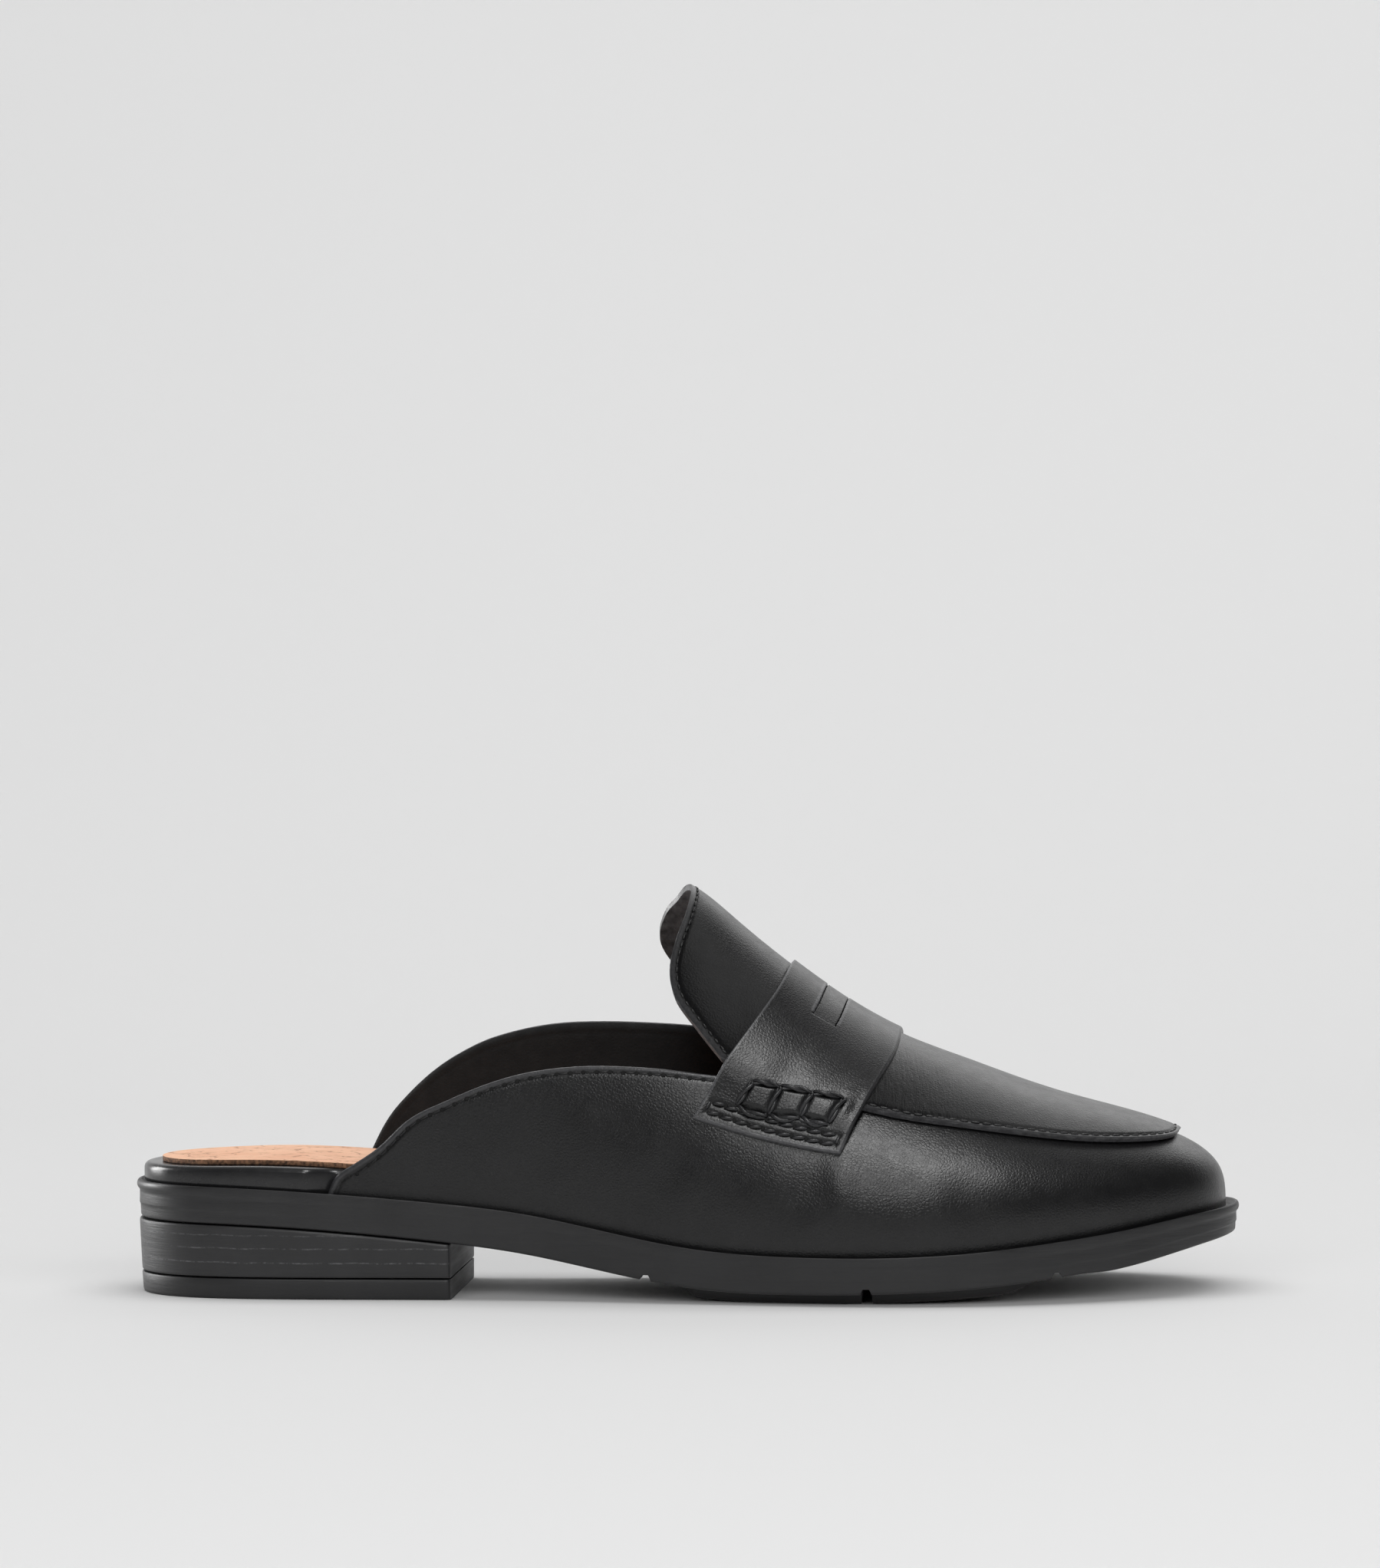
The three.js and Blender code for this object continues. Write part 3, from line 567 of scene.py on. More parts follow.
def rubberMaterial(name, look):
    # moulded rubber: matt, with faint drawn lines along the edge from its finishing
    material, tree, shader, where = newMaterial(name)
    tone = dyed(tree, noiseOf(tree, where, 0.08, 3.0), look["dark"], look["light"])
    drawn = noiseOf(tree, scaledBy(tree, where, (0.05, 0.05, 1.0)), look["linesPerMm"], 4.0, 0.65)
    if "hairlines" in look:
        # light broken lines at three heights, as between stacked layers
        low, high = lineHeights
        up = addNode(tree, "ShaderNodeSeparateXYZ", None, {0: where}).outputs[2]
        wobble = spanOf(tree, noiseOf(tree, scaledBy(tree, where, (1.0, 1.0, 0.0)), 0.15, 2.0), -0.35, 0.35)
        stops = [(0.0, black)]
        for middle, weight in look["hairlines"]:
            at = (middle - low) / (high - low)
            stops += [(at - lineHalf, black), (at, (weight,) * 3 + (1,)), (at + lineHalf, black)]
        line = rampOf(tree, spanOf(tree, mathOf(tree, "ADD", up, wobble), 0.0, 1.0, low, high), stops)
        broken = rampOf(tree, noiseOf(tree, where, 0.55, 4.0, 0.75), [(0.42, black), (0.62, white)])
        tone = mixed(tree, mathOf(tree, "MULTIPLY", line, broken), tone, linear(look["lineColour"]))
    normal = bumpOf(tree, drawn, look["lineDepth"])
    normal = bumpOf(tree, noiseOf(tree, where, 3.0, 3.0, 0.6), 0.02, normal)
    gloss = spanOf(tree, drawn, look["glossy"], look["matt"], 0.35, 0.65)
    plugIn(tree, shader, {"Base Color": tone, "Roughness": gloss, "Normal": normal, "IOR": 1.5})
    return material


def sockMaterial():
    # vegetable tan sock leather: dry, warm, with fine crazed creases that run across and along
    material, tree, shader, where = newMaterial("tan_sock_leather")
    tone = dyed(tree, noiseOf(tree, where, 0.07, 4.0, 0.6), "#e0a580", "#efbd99")
    drift = addNode(tree, "ShaderNodeTexNoise", None, {"Vector": where, "Scale": 0.25, "Detail": 3.0}).outputs[1]
    bent = addNode(tree, "ShaderNodeVectorMath", {"operation": "ADD"}, {
        0: scaledBy(tree, where, (0.55, 1.0, 1.0)), 1: scaledBy(tree, drift, (3.0, 3.0, 3.0))}).outputs[0]
    crease = rampOf(tree, cellsOf(tree, bent, 0.28), [(0.0, white), (0.06, black)])
    broken = rampOf(tree, noiseOf(tree, where, 0.16, 3.0, 0.6), [(0.42, black), (0.56, white)])
    share = mathOf(tree, "MULTIPLY", crease, broken)
    # the crease lines are painted a darker brown
    tone = mixed(tree, mathOf(tree, "MULTIPLY", share, 0.85), tone, linear("#8f5334"))
    normal = bumpOf(tree, noiseOf(tree, where, 2.2, 3.0, 0.6), 0.05, bumpOf(tree, share, -0.12))
    plugIn(tree, shader, {"Base Color": tone, "Roughness": 0.62, "Normal": normal, "IOR": 1.48})
    return material


# finished calf: a soft even sheen, and a paler edge that is partly the real cut core and partly painted highlight; on
# the collar it is painted highlight along the rounded top edge
vampLeather = leatherMaterial("black_smooth_leather", smoothLeather | {"edge": "#3c3c3e"})
apronLeather = leatherMaterial("black_apron_leather", smoothLeather | {
    "light": "#161618", "edge": "#58585a", "pull": (1.5, 0.22, 0.3), "pullDepth": 0.22})
strapLeather = leatherMaterial("black_strap_leather", smoothLeather | {"light": "#151516", "edge": "#505052"})
# polished finish on the wrapped edge: a sharper, smoother highlight, and a greyer black that is painted sheen lifting
# the rand's brightness
wrapLeather = leatherMaterial("wrap_leather_polish_and_painted_sheen", smoothLeather | {
    "dark": "#1d1d1e", "light": "#272728",
    "glossy": 0.2, "matt": 0.29, "grainDepth": 0.004, "fineDepth": 0.004, "waveDepth": 0.06})
# unglazed inside leather scatters light from its raised fibres; its near-black, darker than the outer leather, is
# partly painted shade inside the shoe
liningLeather = leatherMaterial("dark_lining_leather", smoothLeather | {
    "dark": "#040405", "light": "#080809", "glossy": 0.78, "matt": 0.9, "fineDepth": 0.05, "grainDepth": 0.05})
# brushed flesh side of the tongue: grey, cloudy and without gloss
tongueLining = leatherMaterial("fuzzy_tongue_lining", smoothLeather | {
    "dark": "#39393a", "light": "#68686a", "cloudPerMm": 0.5, "glossy": 0.8, "matt": 0.95,
    "fineDepth": 0.12, "grainDepth": 0.04})
sockLeather = sockMaterial()
# the sock's cut edge shows raw brown fibres, dark and light by turns
sockEdge = leatherMaterial("raw_sock_edge", smoothLeather | {
    "dark": "#3a2a20", "light": "#9c7356", "cloudPerMm": 1.3, "glossy": 0.8, "matt": 0.9, "fineDepth": 0.08})
# moulded rubber: a dull, broad highlight drawn out along the edge
soleRubber = rubberMaterial("moulded_rubber", {
    "dark": "#1f1f20", "light": "#262627", "glossy": 0.36, "matt": 0.54, "linesPerMm": 0.9, "lineDepth": 0.1})
# the heel is turned and brushed, so pale hairlines run round it
heelRubber = rubberMaterial("stacked_heel_rubber", {
    "dark": "#242425", "light": "#2d2d2e", "glossy": 0.42, "matt": 0.56, "linesPerMm": 1.6, "lineDepth": 0.08,
    "hairlines": [(8.7, 1.0), (12.1, 0.8), (15.2, 0.55)], "lineColour": "#666668"})
# the breast face is painted paler, a painted reflection of the light it faces, and is more matt
breastRubber = rubberMaterial("breast_rubber_painted_reflection", {
    "dark": "#3a3a3b", "light": "#48484a", "glossy": 0.55, "matt": 0.7, "linesPerMm": 0.6, "lineDepth": 0.03})
# fine sewing thread soaks up the dye, so it is darker and more matt than the leather
seamThread = leatherMaterial("fine_seam_thread", smoothLeather | {
    "dark": "#060607", "light": "#0c0c0d", "cloudPerMm": 1.2, "glossy": 0.42, "matt": 0.56, "fineDepth": 0.05})
# wax makes the thick thread shine along its twist
waxedThread = leatherMaterial("waxed_thread", smoothLeather | {
    "dark": "#161617", "light": "#2a2a2c", "finePerMm": 7.0, "fineDepth": 0.03, "glossy": 0.26, "matt": 0.4})
# a needle hole holds only shadow
holeDark = leatherMaterial("needle_hole_shadow", smoothLeather | {
    "dark": "#050505", "light": "#080808", "glossy": 0.85, "matt": 0.95})


# --- sole, heel, footbed and sock
def roundEdge(distance, radius):
    # how far a surface sinks at its edge: radius - sqrt(radius^2 - (radius - distance)^2)
    left = np.clip(radius - distance, 0, radius)
    return radius - np.sqrt(np.maximum(radius ** 2 - left ** 2, 0))


def roundArc(inset, height, radiusIn, radiusUp, start, end, count):
    # points of an ellipse's arc: inset - cos * radiusIn, height + sin * radiusUp
    t = np.radians(np.linspace(start, end, count))
    return inset - radiusIn * np.cos(t), height + radiusUp * np.sin(t)


soleSettings = {
    "steps": 230, "beadIn": 0.82, "beadUp": 1.15, "beadDown": 1.2, "flat": 0.36, "corner": 0.55, "hang": 0.7,
    "notchWidth": 1.9, "notchDepth": 1.55, "notchReach": 2.6,
}
# the side below the bead: how far down, its inset as a share of the bead, and what it gains where the bead melts
sideRows = [(0.04, 0.44, 0), (0.1, 0.43, 0), (0.3, 0.42, 0), (0.46, 0.41, 0), (0.5, 0.43, 0), (0.54, 0.52, 0.02),
            (0.58, 0.55, 0.04), (0.7, 0.57, 0.05), (0.88, 0.6, 0.08), (0.93, 0.63, 0.12), (0.97, 0.74, 0.25),
            (1.0, 0.98, 0.55)]


def soleRows():
    # even rows, and more of them round each notch
    ats = list(np.linspace(0, 1, soleSettings["steps"] + 1))
    around = soleSettings["notchReach"]
    for share in notchShares:
        ats += list(atOfShare(share + np.linspace(-around, around, 34) / size["soleLength"]))
    return np.unique(np.round(ats, 6))


def beadAmount(at):
    # the bead stands out at the heel's back and at the toe, and melts into the side between them
    return 1 - 0.86 * smoothStep(0.05, 0.2, at) * (1 - smoothStep(0.86, 0.96, at))


def makeOutsole():
    bead = soleSettings["beadIn"]
    beadIn, beadUp = roundArc(bead, 0, bead, soleSettings["beadUp"], 115, -62, 15)
    down, shares, gain = np.array(sideRows, float).T
    # where the bead has melted, its arc becomes an upright face with a small round at the top
    flatIn = soleSettings["flat"] + roundEdge(np.linspace(0, 2.2, 15), soleSettings["corner"])
    pad, ledge = size["padInset"], -size["ledgeDrop"]
    # each corner of the profile: how far down the edge, what is added to that, and its share of the pad
    fall = np.concatenate([np.zeros(17), down, np.ones(5)])
    add = np.concatenate([[ledge - 0.35, ledge], beadUp - soleSettings["beadDown"],
                          (down - 1) * size["beadHeight"], [0, 0, -0.1, 0, 0]])
    sunk = np.concatenate([np.zeros(32), [0.85, 1]])

    def insets(at):
        amount = beadAmount(at)
        low = mix(0.4 + 0 * at, shares * size["bead"], 0.35 + 0.65 * amount) + gain * (1 - amount)
        top, deep = np.array([3.2, 1.9]), np.array([3.5, pad - 0.6, pad, pad + 0.5, pad + 1.1])
        return np.concatenate([top + 0 * at, mix(flatIn, beadIn, amount), low, deep + 0 * at], 1)

    def heights(share):
        # under the toe the edge hangs a little lower, and the tread's pad has run out into it
        hang = soleSettings["hang"] * smoothStep(0.855, 0.89, share) * (1 - smoothStep(0.9, 1.0, share))
        tread = smoothStep(0.5, 0.52, share) * (1 - smoothStep(0.79, 0.83, share))
        low = edgeBottom(share) - hang
        padLow = np.maximum(0, low - size["padDepth"] * tread)
        return mix(mix(rimHeight(share), low, fall) + add, padLow, sunk)

    def notch(grid):
        x, y, z = np.moveaxis(grid, -1, 0)
        half = soleSettings["notchWidth"] / 2
        for share in notchShares:
            middle = (share - 0.5) * size["soleLength"]
            top = edgeBottom(share) + soleSettings["notchDepth"] * 0.85
            inside = smoothStep(half + 0.45, half - 0.35, np.abs(x - middle))
            z = mix(z, np.maximum(z, top), inside)
        return np.stack([x, y, z], -1)

    piece = slabPiece("outsole", soleRows(), insets, heights, [soleRubber], shapeRow=notch)
    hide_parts("outsole")


breastRound = 0.9


def makeHeel():
    # rows crowd towards the breast, so that its corner is round
    end = atOfShare(size["breastShare"])
    even = np.linspace(0, end, 60)
    ats = np.unique(np.concatenate([even, end - (end - even[-2]) * np.linspace(0, 1, 9) ** 2]))
    breastX = (size["breastShare"] - 0.5) * size["soleLength"]

    def roundBreast(grid):
        x, y, z = np.moveaxis(grid, -1, 0)
        pull = roundEdge(np.clip(breastX - x, 0, breastRound), breastRound)
        centre = y.mean(1, keepdims=True)
        half = np.maximum(np.abs(y - centre), 1e-6)
        return np.stack([x, centre + (y - centre) * np.maximum(half - pull, 0) / half, z], -1)

    gap, lean, base, top = size["clearance"], size["heelLean"], size["heelInset"], size["topPieceHeight"]
    low = base + lean
    insets = np.array([base + 2.0, base + 0.55, base + 0.2, base + 0.04, base, base + lean * 0.3, base + lean * 0.7,
                       low, low + 0.05, low + 0.2, low + 0.6, base + 2.6])
    fall = np.array([0, 0, 0, 0, 0, 0.35, 0.7, 1, 1, 1, 1, 1])
    ups = np.array([0, 0, -0.12, -0.4, -0.7, 0, 0, 0.7, 0.3, 0.08, 0, 0])
    block = slabPiece("heel_block", ats, insets, lambda share: mix(edgeBottom(share) - gap, top + gap, fall) + ups,
                      [heelRubber, breastRubber], endCap=True, shapeRow=roundBreast)
    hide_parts("heel_block")

    insets = low + np.array([2.0, 0.5, 0.15, 0, 0.1, 0.25, 0.4, 0.8, 2.5])
    heights = np.array([top, top, top - 0.15, top - 0.5, top * 0.6, 0.7, 0.25, 0, 0])
    piece = slabPiece("top_piece", ats, insets, lambda share: heights + 0 * share,
                      [soleRubber, breastRubber], endCap=True, shapeRow=roundBreast)
    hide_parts("top_piece")


def footbedInset(at):
    inside = size["upperInset"] + size["upperWall"] + size["clearance"]
    return mix(size["randInset"], inside, smoothStep(wingStartAt - 0.025, wingStartAt, at))


def footbedTop(share):
    return featherHeight(share) + size["footbed"] * footbedTable(share)


def makeFootbed():
    arcIn, arcUp = roundArc(1.5, -1.5, 1.5, 1.5, 90, 5, 9)
    extra = np.concatenate([[4.0, 2.4], arcIn, [0, 0.12, 0.45, 0.9, 1.3, 2.4]])
    ups = np.concatenate([[0, 0], arcUp, [1.6, 0.7, 0.35, 0.08, 0, 0]])

    def heights(share):
        # the first eleven corners are counted from the top, the others from the base
        return np.where(np.arange(len(ups)) < 11, footbedTop(share), featherHeight(share)) + ups

    crowd = np.linspace(wingStartAt - 0.03, wingStartAt + 0.005, 24)
    ats = np.unique(np.concatenate([np.linspace(0, 1, 201), crowd]))
    piece = slabPiece("footbed", ats, lambda at: extra + footbedInset(at), heights, [wrapLeather])
    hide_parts("footbed")


def makeSock():
    insets = np.array([1.0, 0.25, 0.05, 0, 0, 0.1]) + size["sockInset"]
    ups = size["sock"] * np.array([1.0, 1.0, 0.94, 0.8, 0.1, 0.0])
    piece = slabPiece("insole_sock", np.linspace(0, 1, 240), insets,
                      lambda share: footbedTop(share) + size["clearance"] * 0.4 + ups,
                      [sockLeather, sockEdge], caps=40, edgeFrom=2)
    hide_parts("insole_sock")


makeOutsole()
makeHeel()
makeFootbed()
makeSock()
print("sole, heel, footbed and sock made")


# --- stitches and threads
def surfaceAt(place):
    # points and outward normals of the last's surface along a line of (turn, angle, offset)
    turn, angle, offset = place
    step = 0.0015
    across = lastPoint(turn + step, angle, offset) - lastPoint(turn - step, angle, offset)
    up = lastPoint(turn, np.minimum(angle + step, math.pi / 2), offset) - lastPoint(turn, angle - step, offset)
    return lastPoint(turn, angle, offset), unit(np.cross(across, up))


def placeAlong(line, pitch, start=0.0, end=0.0):
    # even places along a sampled line, by arc length, each as an index and a fraction
    lengths = np.concatenate([[0], np.cumsum(np.linalg.norm(np.diff(line, axis=0), axis=1))])
    whole = lengths[-1] - start - end
    count = max(int(round(whole / pitch)), 1)
    wanted = start + (np.arange(count) + 0.5) * whole / count
    return np.interp(wanted, lengths, np.arange(len(line)))


def pick(values, places):
    i = np.clip(places.astype(int), 0, len(values) - 2)
    f = (places - i)[:, None]
    return values[i] * (1 - f) + values[i + 1] * f


def aheadOf(row, places):
    # the row's own direction at each place
    return pick(row, np.minimum(places + 0.5, len(row) - 1.001)) - pick(row, np.maximum(places - 0.5, 0))


def capsuleGrid(around=8, along=7):
    # unit capsule: radius is cos^0.7 of the latitude, length runs from -1 to 1
    u = np.linspace(-math.pi / 2, math.pi / 2, along)[:, None]
    v = np.linspace(0, 2 * math.pi, around, endpoint=False)[None]
    r = np.clip(np.cos(u), 0, 1) ** 0.7
    return np.stack([np.sin(u) + 0 * v, r * np.cos(v), r * np.sin(v)], -1)


def stitchMesh(name, centres, along, normals, look, material):
    # one capsule per stitch, laid along the seam and pressed into the leather
    shape = capsuleGrid()
    along = unit(along - (along * normals).sum(-1, keepdims=True) * normals)
    side = np.cross(normals, along)
    turn = math.radians(look.get("slant", 0))
    along, side = along * math.cos(turn) + side * math.sin(turn), side * math.cos(turn) - along * math.sin(turn)
    half = np.array([look["length"] / 2, look["width"] / 2, look["height"] / 2])
    local = shape.reshape(-1, 3) * half
    bend = -look.get("arch", 0.0) * (local[:, 0] / half[0]) ** 2
    points = (centres[:, None] + along[:, None] * local[None, :, :1] + side[:, None] * local[None, :, 1:2]
              + normals[:, None] * (local[None, :, 2:] + bend[None, :, None] + look["lift"]))
    faces = tubeFaces(*shape.shape[:2], len(centres))
    piece = makePiece(name, points.reshape(-1, 3), faces[:, ::-1], [material], sharpAngle=80)


def seamStitches(name, row, normals, pitch, look, material, start=0.0, end=0.0):
    places = placeAlong(row, pitch, start, end)
    stitchMesh(name, pick(row, places), aheadOf(row, places), unit(pick(normals, places)), look, material)


def needleHoles(name, row, normals, pitch, look, start=0.0):
    # a dark bead, painted shadow of a needle hole, half way between every two stitches
    places = placeAlong(row, pitch, start)
    places = places[:-1] + np.diff(places) / 2
    stitchMesh(name, pick(row, places), aheadOf(row, places), unit(pick(normals, places)), look, holeDark)


def threadTube(points, normals, radius, turns, strands=2, around=10):
    # twisted strands round a line: centre + spread * (cos a * side + sin a * normal), each thinning to its ends
    t = np.linspace(0, 1, len(points))
    side = unit(np.cross(normals, unit(np.gradient(points, axis=0))))

    def turned(a):
        return np.cos(a)[..., None] * side[:, None] + np.sin(a)[..., None] * normals[:, None]

    thin = (radius * 0.62 * np.clip(np.sin(math.pi * t), 0, 1) ** 0.25)[:, None, None]
    ring = thin * turned(np.linspace(0, 2 * math.pi, around, endpoint=False)[None])
    twist = [2 * math.pi * (turns * t + k / strands) for k in range(strands)]
    return [points[:, None] + radius * 0.46 * turned(a[:, None]) + ring for a in twist]


# --- upper
def stitchGroove(distance, place, depth=0.16, width=0.5):
    return -depth * np.exp(-((distance - place) / width) ** 2)


# creases, listed on the side view: piece, side (-1 outer, 1 inner), depth (a ridge is negative), reach, and x, z
# from one end to the other, in millimetres
creaseRows = [
    ("upper", -1, -0.3, 3.0, [(38.5, 34), (39.5, 28), (41, 21)]),
    ("upper", -1, 0.3, 3.6, [(33, 31), (30.5, 26), (27, 19)]),
    ("upper", -1, 0.22, 4.0, [(4.5, 38), (0.5, 32), (-5, 25)]),
    ("upper", -1, 0.2, 4.2, [(52.5, 34), (53.5, 26), (57, 17)]),
    ("upper", -1, 0.17, 4.6, [(67, 31.5), (69, 24), (74, 15)]),
    ("upper", -1, 0.25, 5.0, [(-34, 46), (-30, 36), (-30, 27)]),
    ("upper", 1, 0.28, 4.0, [(38, 33), (35, 27), (33, 19)]),
    ("upper", 1, 0.22, 4.6, [(58, 31), (57, 25), (60, 17)]),
    ("upper", 1, 0.25, 5.0, [(-28, 52), (-25, 40), (-26, 29)]),
    ("apron_tongue", -1, 0.16, 3.0, [(60, 52), (57, 46), (54, 40)]),
    ("apron_tongue", -1, 0.13, 3.4, [(74, 46), (71, 41), (69, 37)]),
    ("apron_tongue", 1, 0.16, 3.4, [(62, 51), (59, 45), (56, 39)]),
    ("apron_tongue", -1, 0.3, 5.5, [(8, 82), (13, 72), (17, 62)]),
    ("apron_tongue", 1, 0.3, 6.0, [(4, 84), (9, 72), (12, 62)]),
    ("strap", -1, 0.2, 3.0, [(14.5, 53), (12, 49), (8.5, 44.5)]),
    ("strap", -1, -0.16, 1.2, [(41.5, 49), (40.5, 46.5), (39, 44)]),
    ("strap", -1, 0.14, 1.1, [(44, 48), (42.5, 45.5), (41, 43.5)]),
    ("strap", -1, 0.16, 3.2, [(30, 58), (27, 54), (25, 50.5)]),
    ("strap", 1, 0.2, 3.4, [(16, 54), (13, 49), (10, 45)]),
    ("strap", 1, 0.18, 3.0, [(42, 50), (40, 46), (38, 42)]),
]


def creaseHeight(name, points):
    # a soft trough with a low swell on each side: -depth * (exp(-(d/r)^2) - 0.4 * exp(-((d - 1.9 r)/r)^2)),
    # fading towards both of its ends
    height = np.zeros(points.shape[:-1])
    for piece, side, depth, reach, path in creaseRows:
        if piece != name:
            continue
        rows = [(k, x, z) for k, (x, z) in enumerate(path)]
        t = np.linspace(0, len(path) - 1, 60)
        line = np.stack([cubicThrough(rows, 1)(t), cubicThrough(rows, 2)(t)], -1)
        gap = np.linalg.norm(points[..., None, (0, 2)] - line, axis=-1)
        near, d = t[gap.argmin(-1)] / t[-1], gap.min(-1)
        fade = np.sin(math.pi * np.clip(near, 0.06, 0.94)) ** 0.6 * smoothStep(1.0, 5.0, side * points[..., 1])
        height -= depth * fade * (np.exp(-(d / reach) ** 2) - 0.4 * np.exp(-((d - 1.9 * reach) / reach) ** 2))
    return height


# share of the paler edge band: partly the real cut core, partly painted highlight
def edgeMark(away, reach):
    return 1 - smoothStep(0.75 * reach, 1.25 * reach, away)


upperSettings = {
    "cornerPull": 2.4, "tuck": 0.25, "tuckAngle": 0.42, "columns": 50, "edgePower": 1.6,
    "stitchPlace": 1.75, "stitchPitch": 3.2, "edge": 1.25,
}


def collarLine(turnSide, count=1400):
    # turnSide is 0 for the outer wing and 1 for the inner one
    at = np.linspace(wingStartAt, atOfShare(throatShare), count)
    turn = at if turnSide == 0 else 2 - at
    top = lastPoint(turn, collarAngle(turn), -size["upperWall"] / 2)
    rear = lastPoint(turn[:1], collarAngle(turn[:1]) * np.linspace(0, 1, 60), -size["upperWall"] / 2)
    return np.concatenate([rear, top])


def makeUpper():
    throatAt = float(atOfShare(throatShare))
    ats = np.unique(np.concatenate([
        wingStartAt + (0.34 - wingStartAt) * np.linspace(0, 1, 52) ** 1.5,
        np.linspace(0.34, throatAt, 96), np.linspace(throatAt, 1, 140)]))
    t = 1 - (1 - np.linspace(0, 1, upperSettings["columns"])) ** upperSettings["edgePower"]
    wall = size["upperWall"]
    points, outerFaces, innerFaces, rimFaces, marks, count = [], [], [], [], [], 0
    for side in (0, 1):
        turn = (ats if side == 0 else 2 - ats)[:, None] + 0 * t[None]
        top = np.where(ats < throatAt - 1e-9, collarAngle(turn[:, 0]), math.pi / 2)
        angle = top[:, None] * t[None]
        middle = lastPoint(turn, angle, -wall / 2)
        # in front of the throat there is no edge near
        away = np.where(ats[:, None] > throatAt + 0.02, 9.0, distanceTo(middle, collarLine(side)))
        sink = roundEdge(away, wall / 2)
        groove = stitchGroove(away, upperSettings["stitchPlace"], 0.24, 0.45)
        tuck = upperSettings["tuck"] * (1 - smoothStep(0, upperSettings["tuckAngle"], angle))
        tuck = tuck * smoothStep(0.55, 0.72, ats)[:, None]
        outer = lastPoint(turn, angle, -sink + groove - tuck + creaseHeight("upper", middle))
        inner = lastPoint(turn, angle, -wall + sink - stitchGroove(away, 2.1, 0.12, 0.35))
        if side == 0:
            corner = (1 - smoothStep(0, 0.2, angle)) * (1 - smoothStep(0, 0.045, turn - wingStartAt))
            outer[..., 0] -= upperSettings["cornerPull"] * corner
            inner[..., 0] -= upperSettings["cornerPull"] * corner
        parts = shellFaces(np.ones((len(ats) - 1, len(t) - 1), bool))
        a, b, c = parts if side == 0 else [part[:, ::-1] for part in parts]
        # the halves meet on the ridge in front of the throat, so no rim is wanted there
        row, column = c // len(t) % len(ats), c % len(t)
        onRidge = ((column == len(t) - 1) & (ats[row] >= throatAt - 1e-9)).all(1)
        onToe = (row == len(ats) - 1).all(1)
        outerFaces.append(a + count)
        innerFaces.append(b + count)
        rimFaces.append(c[~(onRidge | onToe)] + count)
        points.append(wallPoints(outer, inner))
        # the collar's paler edge band is painted highlight along its rounded edge
        marks.append(onBoth(edgeMark(away, upperSettings["edge"])))
        count += len(points[-1])
    faces = np.concatenate(outerFaces + innerFaces + rimFaces)
    slots = np.repeat([0, 1, 0], [sum(len(f) for f in part) for part in (outerFaces, innerFaces, rimFaces)])
    piece = makePiece("upper", np.concatenate(points), faces, [vampLeather, liningLeather], slots,
                      marks={"edge": np.concatenate(marks)})
    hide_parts("upper")


# --- apron and tongue
apronSettings = {"half": 46, "tongueSteps": 50, "round": 0.45, "slotRise": 1.22, "edge": 1.15, "flank": 1500}


def apronPlace(across, row):
    # row 0 is the tongue's rear edge, 1 the join and 2 the toe
    rear = atOfShare(tongueTable(across))
    at = np.where(row <= 1, mix(rear, tongueJoinAt, row), mix(tongueJoinAt, 1.0, row - 1))
    turn = np.where(across <= 0, at, 2 - at)
    return turn, mix(math.pi / 2, seamAngle(turn), np.abs(across))


def apronEdge():
    # seam on the outer side, the tongue's rear edge, and the seam on the inner side
    rows = np.linspace(2, 0, apronSettings["flank"])
    across = np.linspace(-1, 1, 500)[1:-1]
    parts = [apronPlace(0 * rows - 1, rows), apronPlace(across, 0 * across), apronPlace(0 * rows + 1, rows[::-1])]
    return [np.concatenate(values) for values in zip(*parts)]


def slotRise(turn, angle):
    # the apron pillows up through the strap's slot, with the slot's own edges left free
    down = 1 - angle / (math.pi / 2)
    rear, front = strapRear(down), strapFront(down)
    across = (lengthShare(fold(turn)) - rear) / (front - rear)
    middle, half = (slotSpan[0] + slotSpan[1]) / 2, (slotSpan[1] - slotSpan[0]) / 2
    inside = smoothStep(half - 0.001, half - 0.011, np.abs(across - middle))
    return apronSettings["slotRise"] * inside * smoothStep(slotHalf, slotHalf - 0.004, down)


def pullMark(points):
    # how strongly the pulls show: over the flank in front of the strap, fading towards the toe
    x, z = points[..., 0], points[..., 2]
    return smoothStep(38, 46, x) * (1 - smoothStep(52, 78, x)) * smoothStep(66, 52, z)


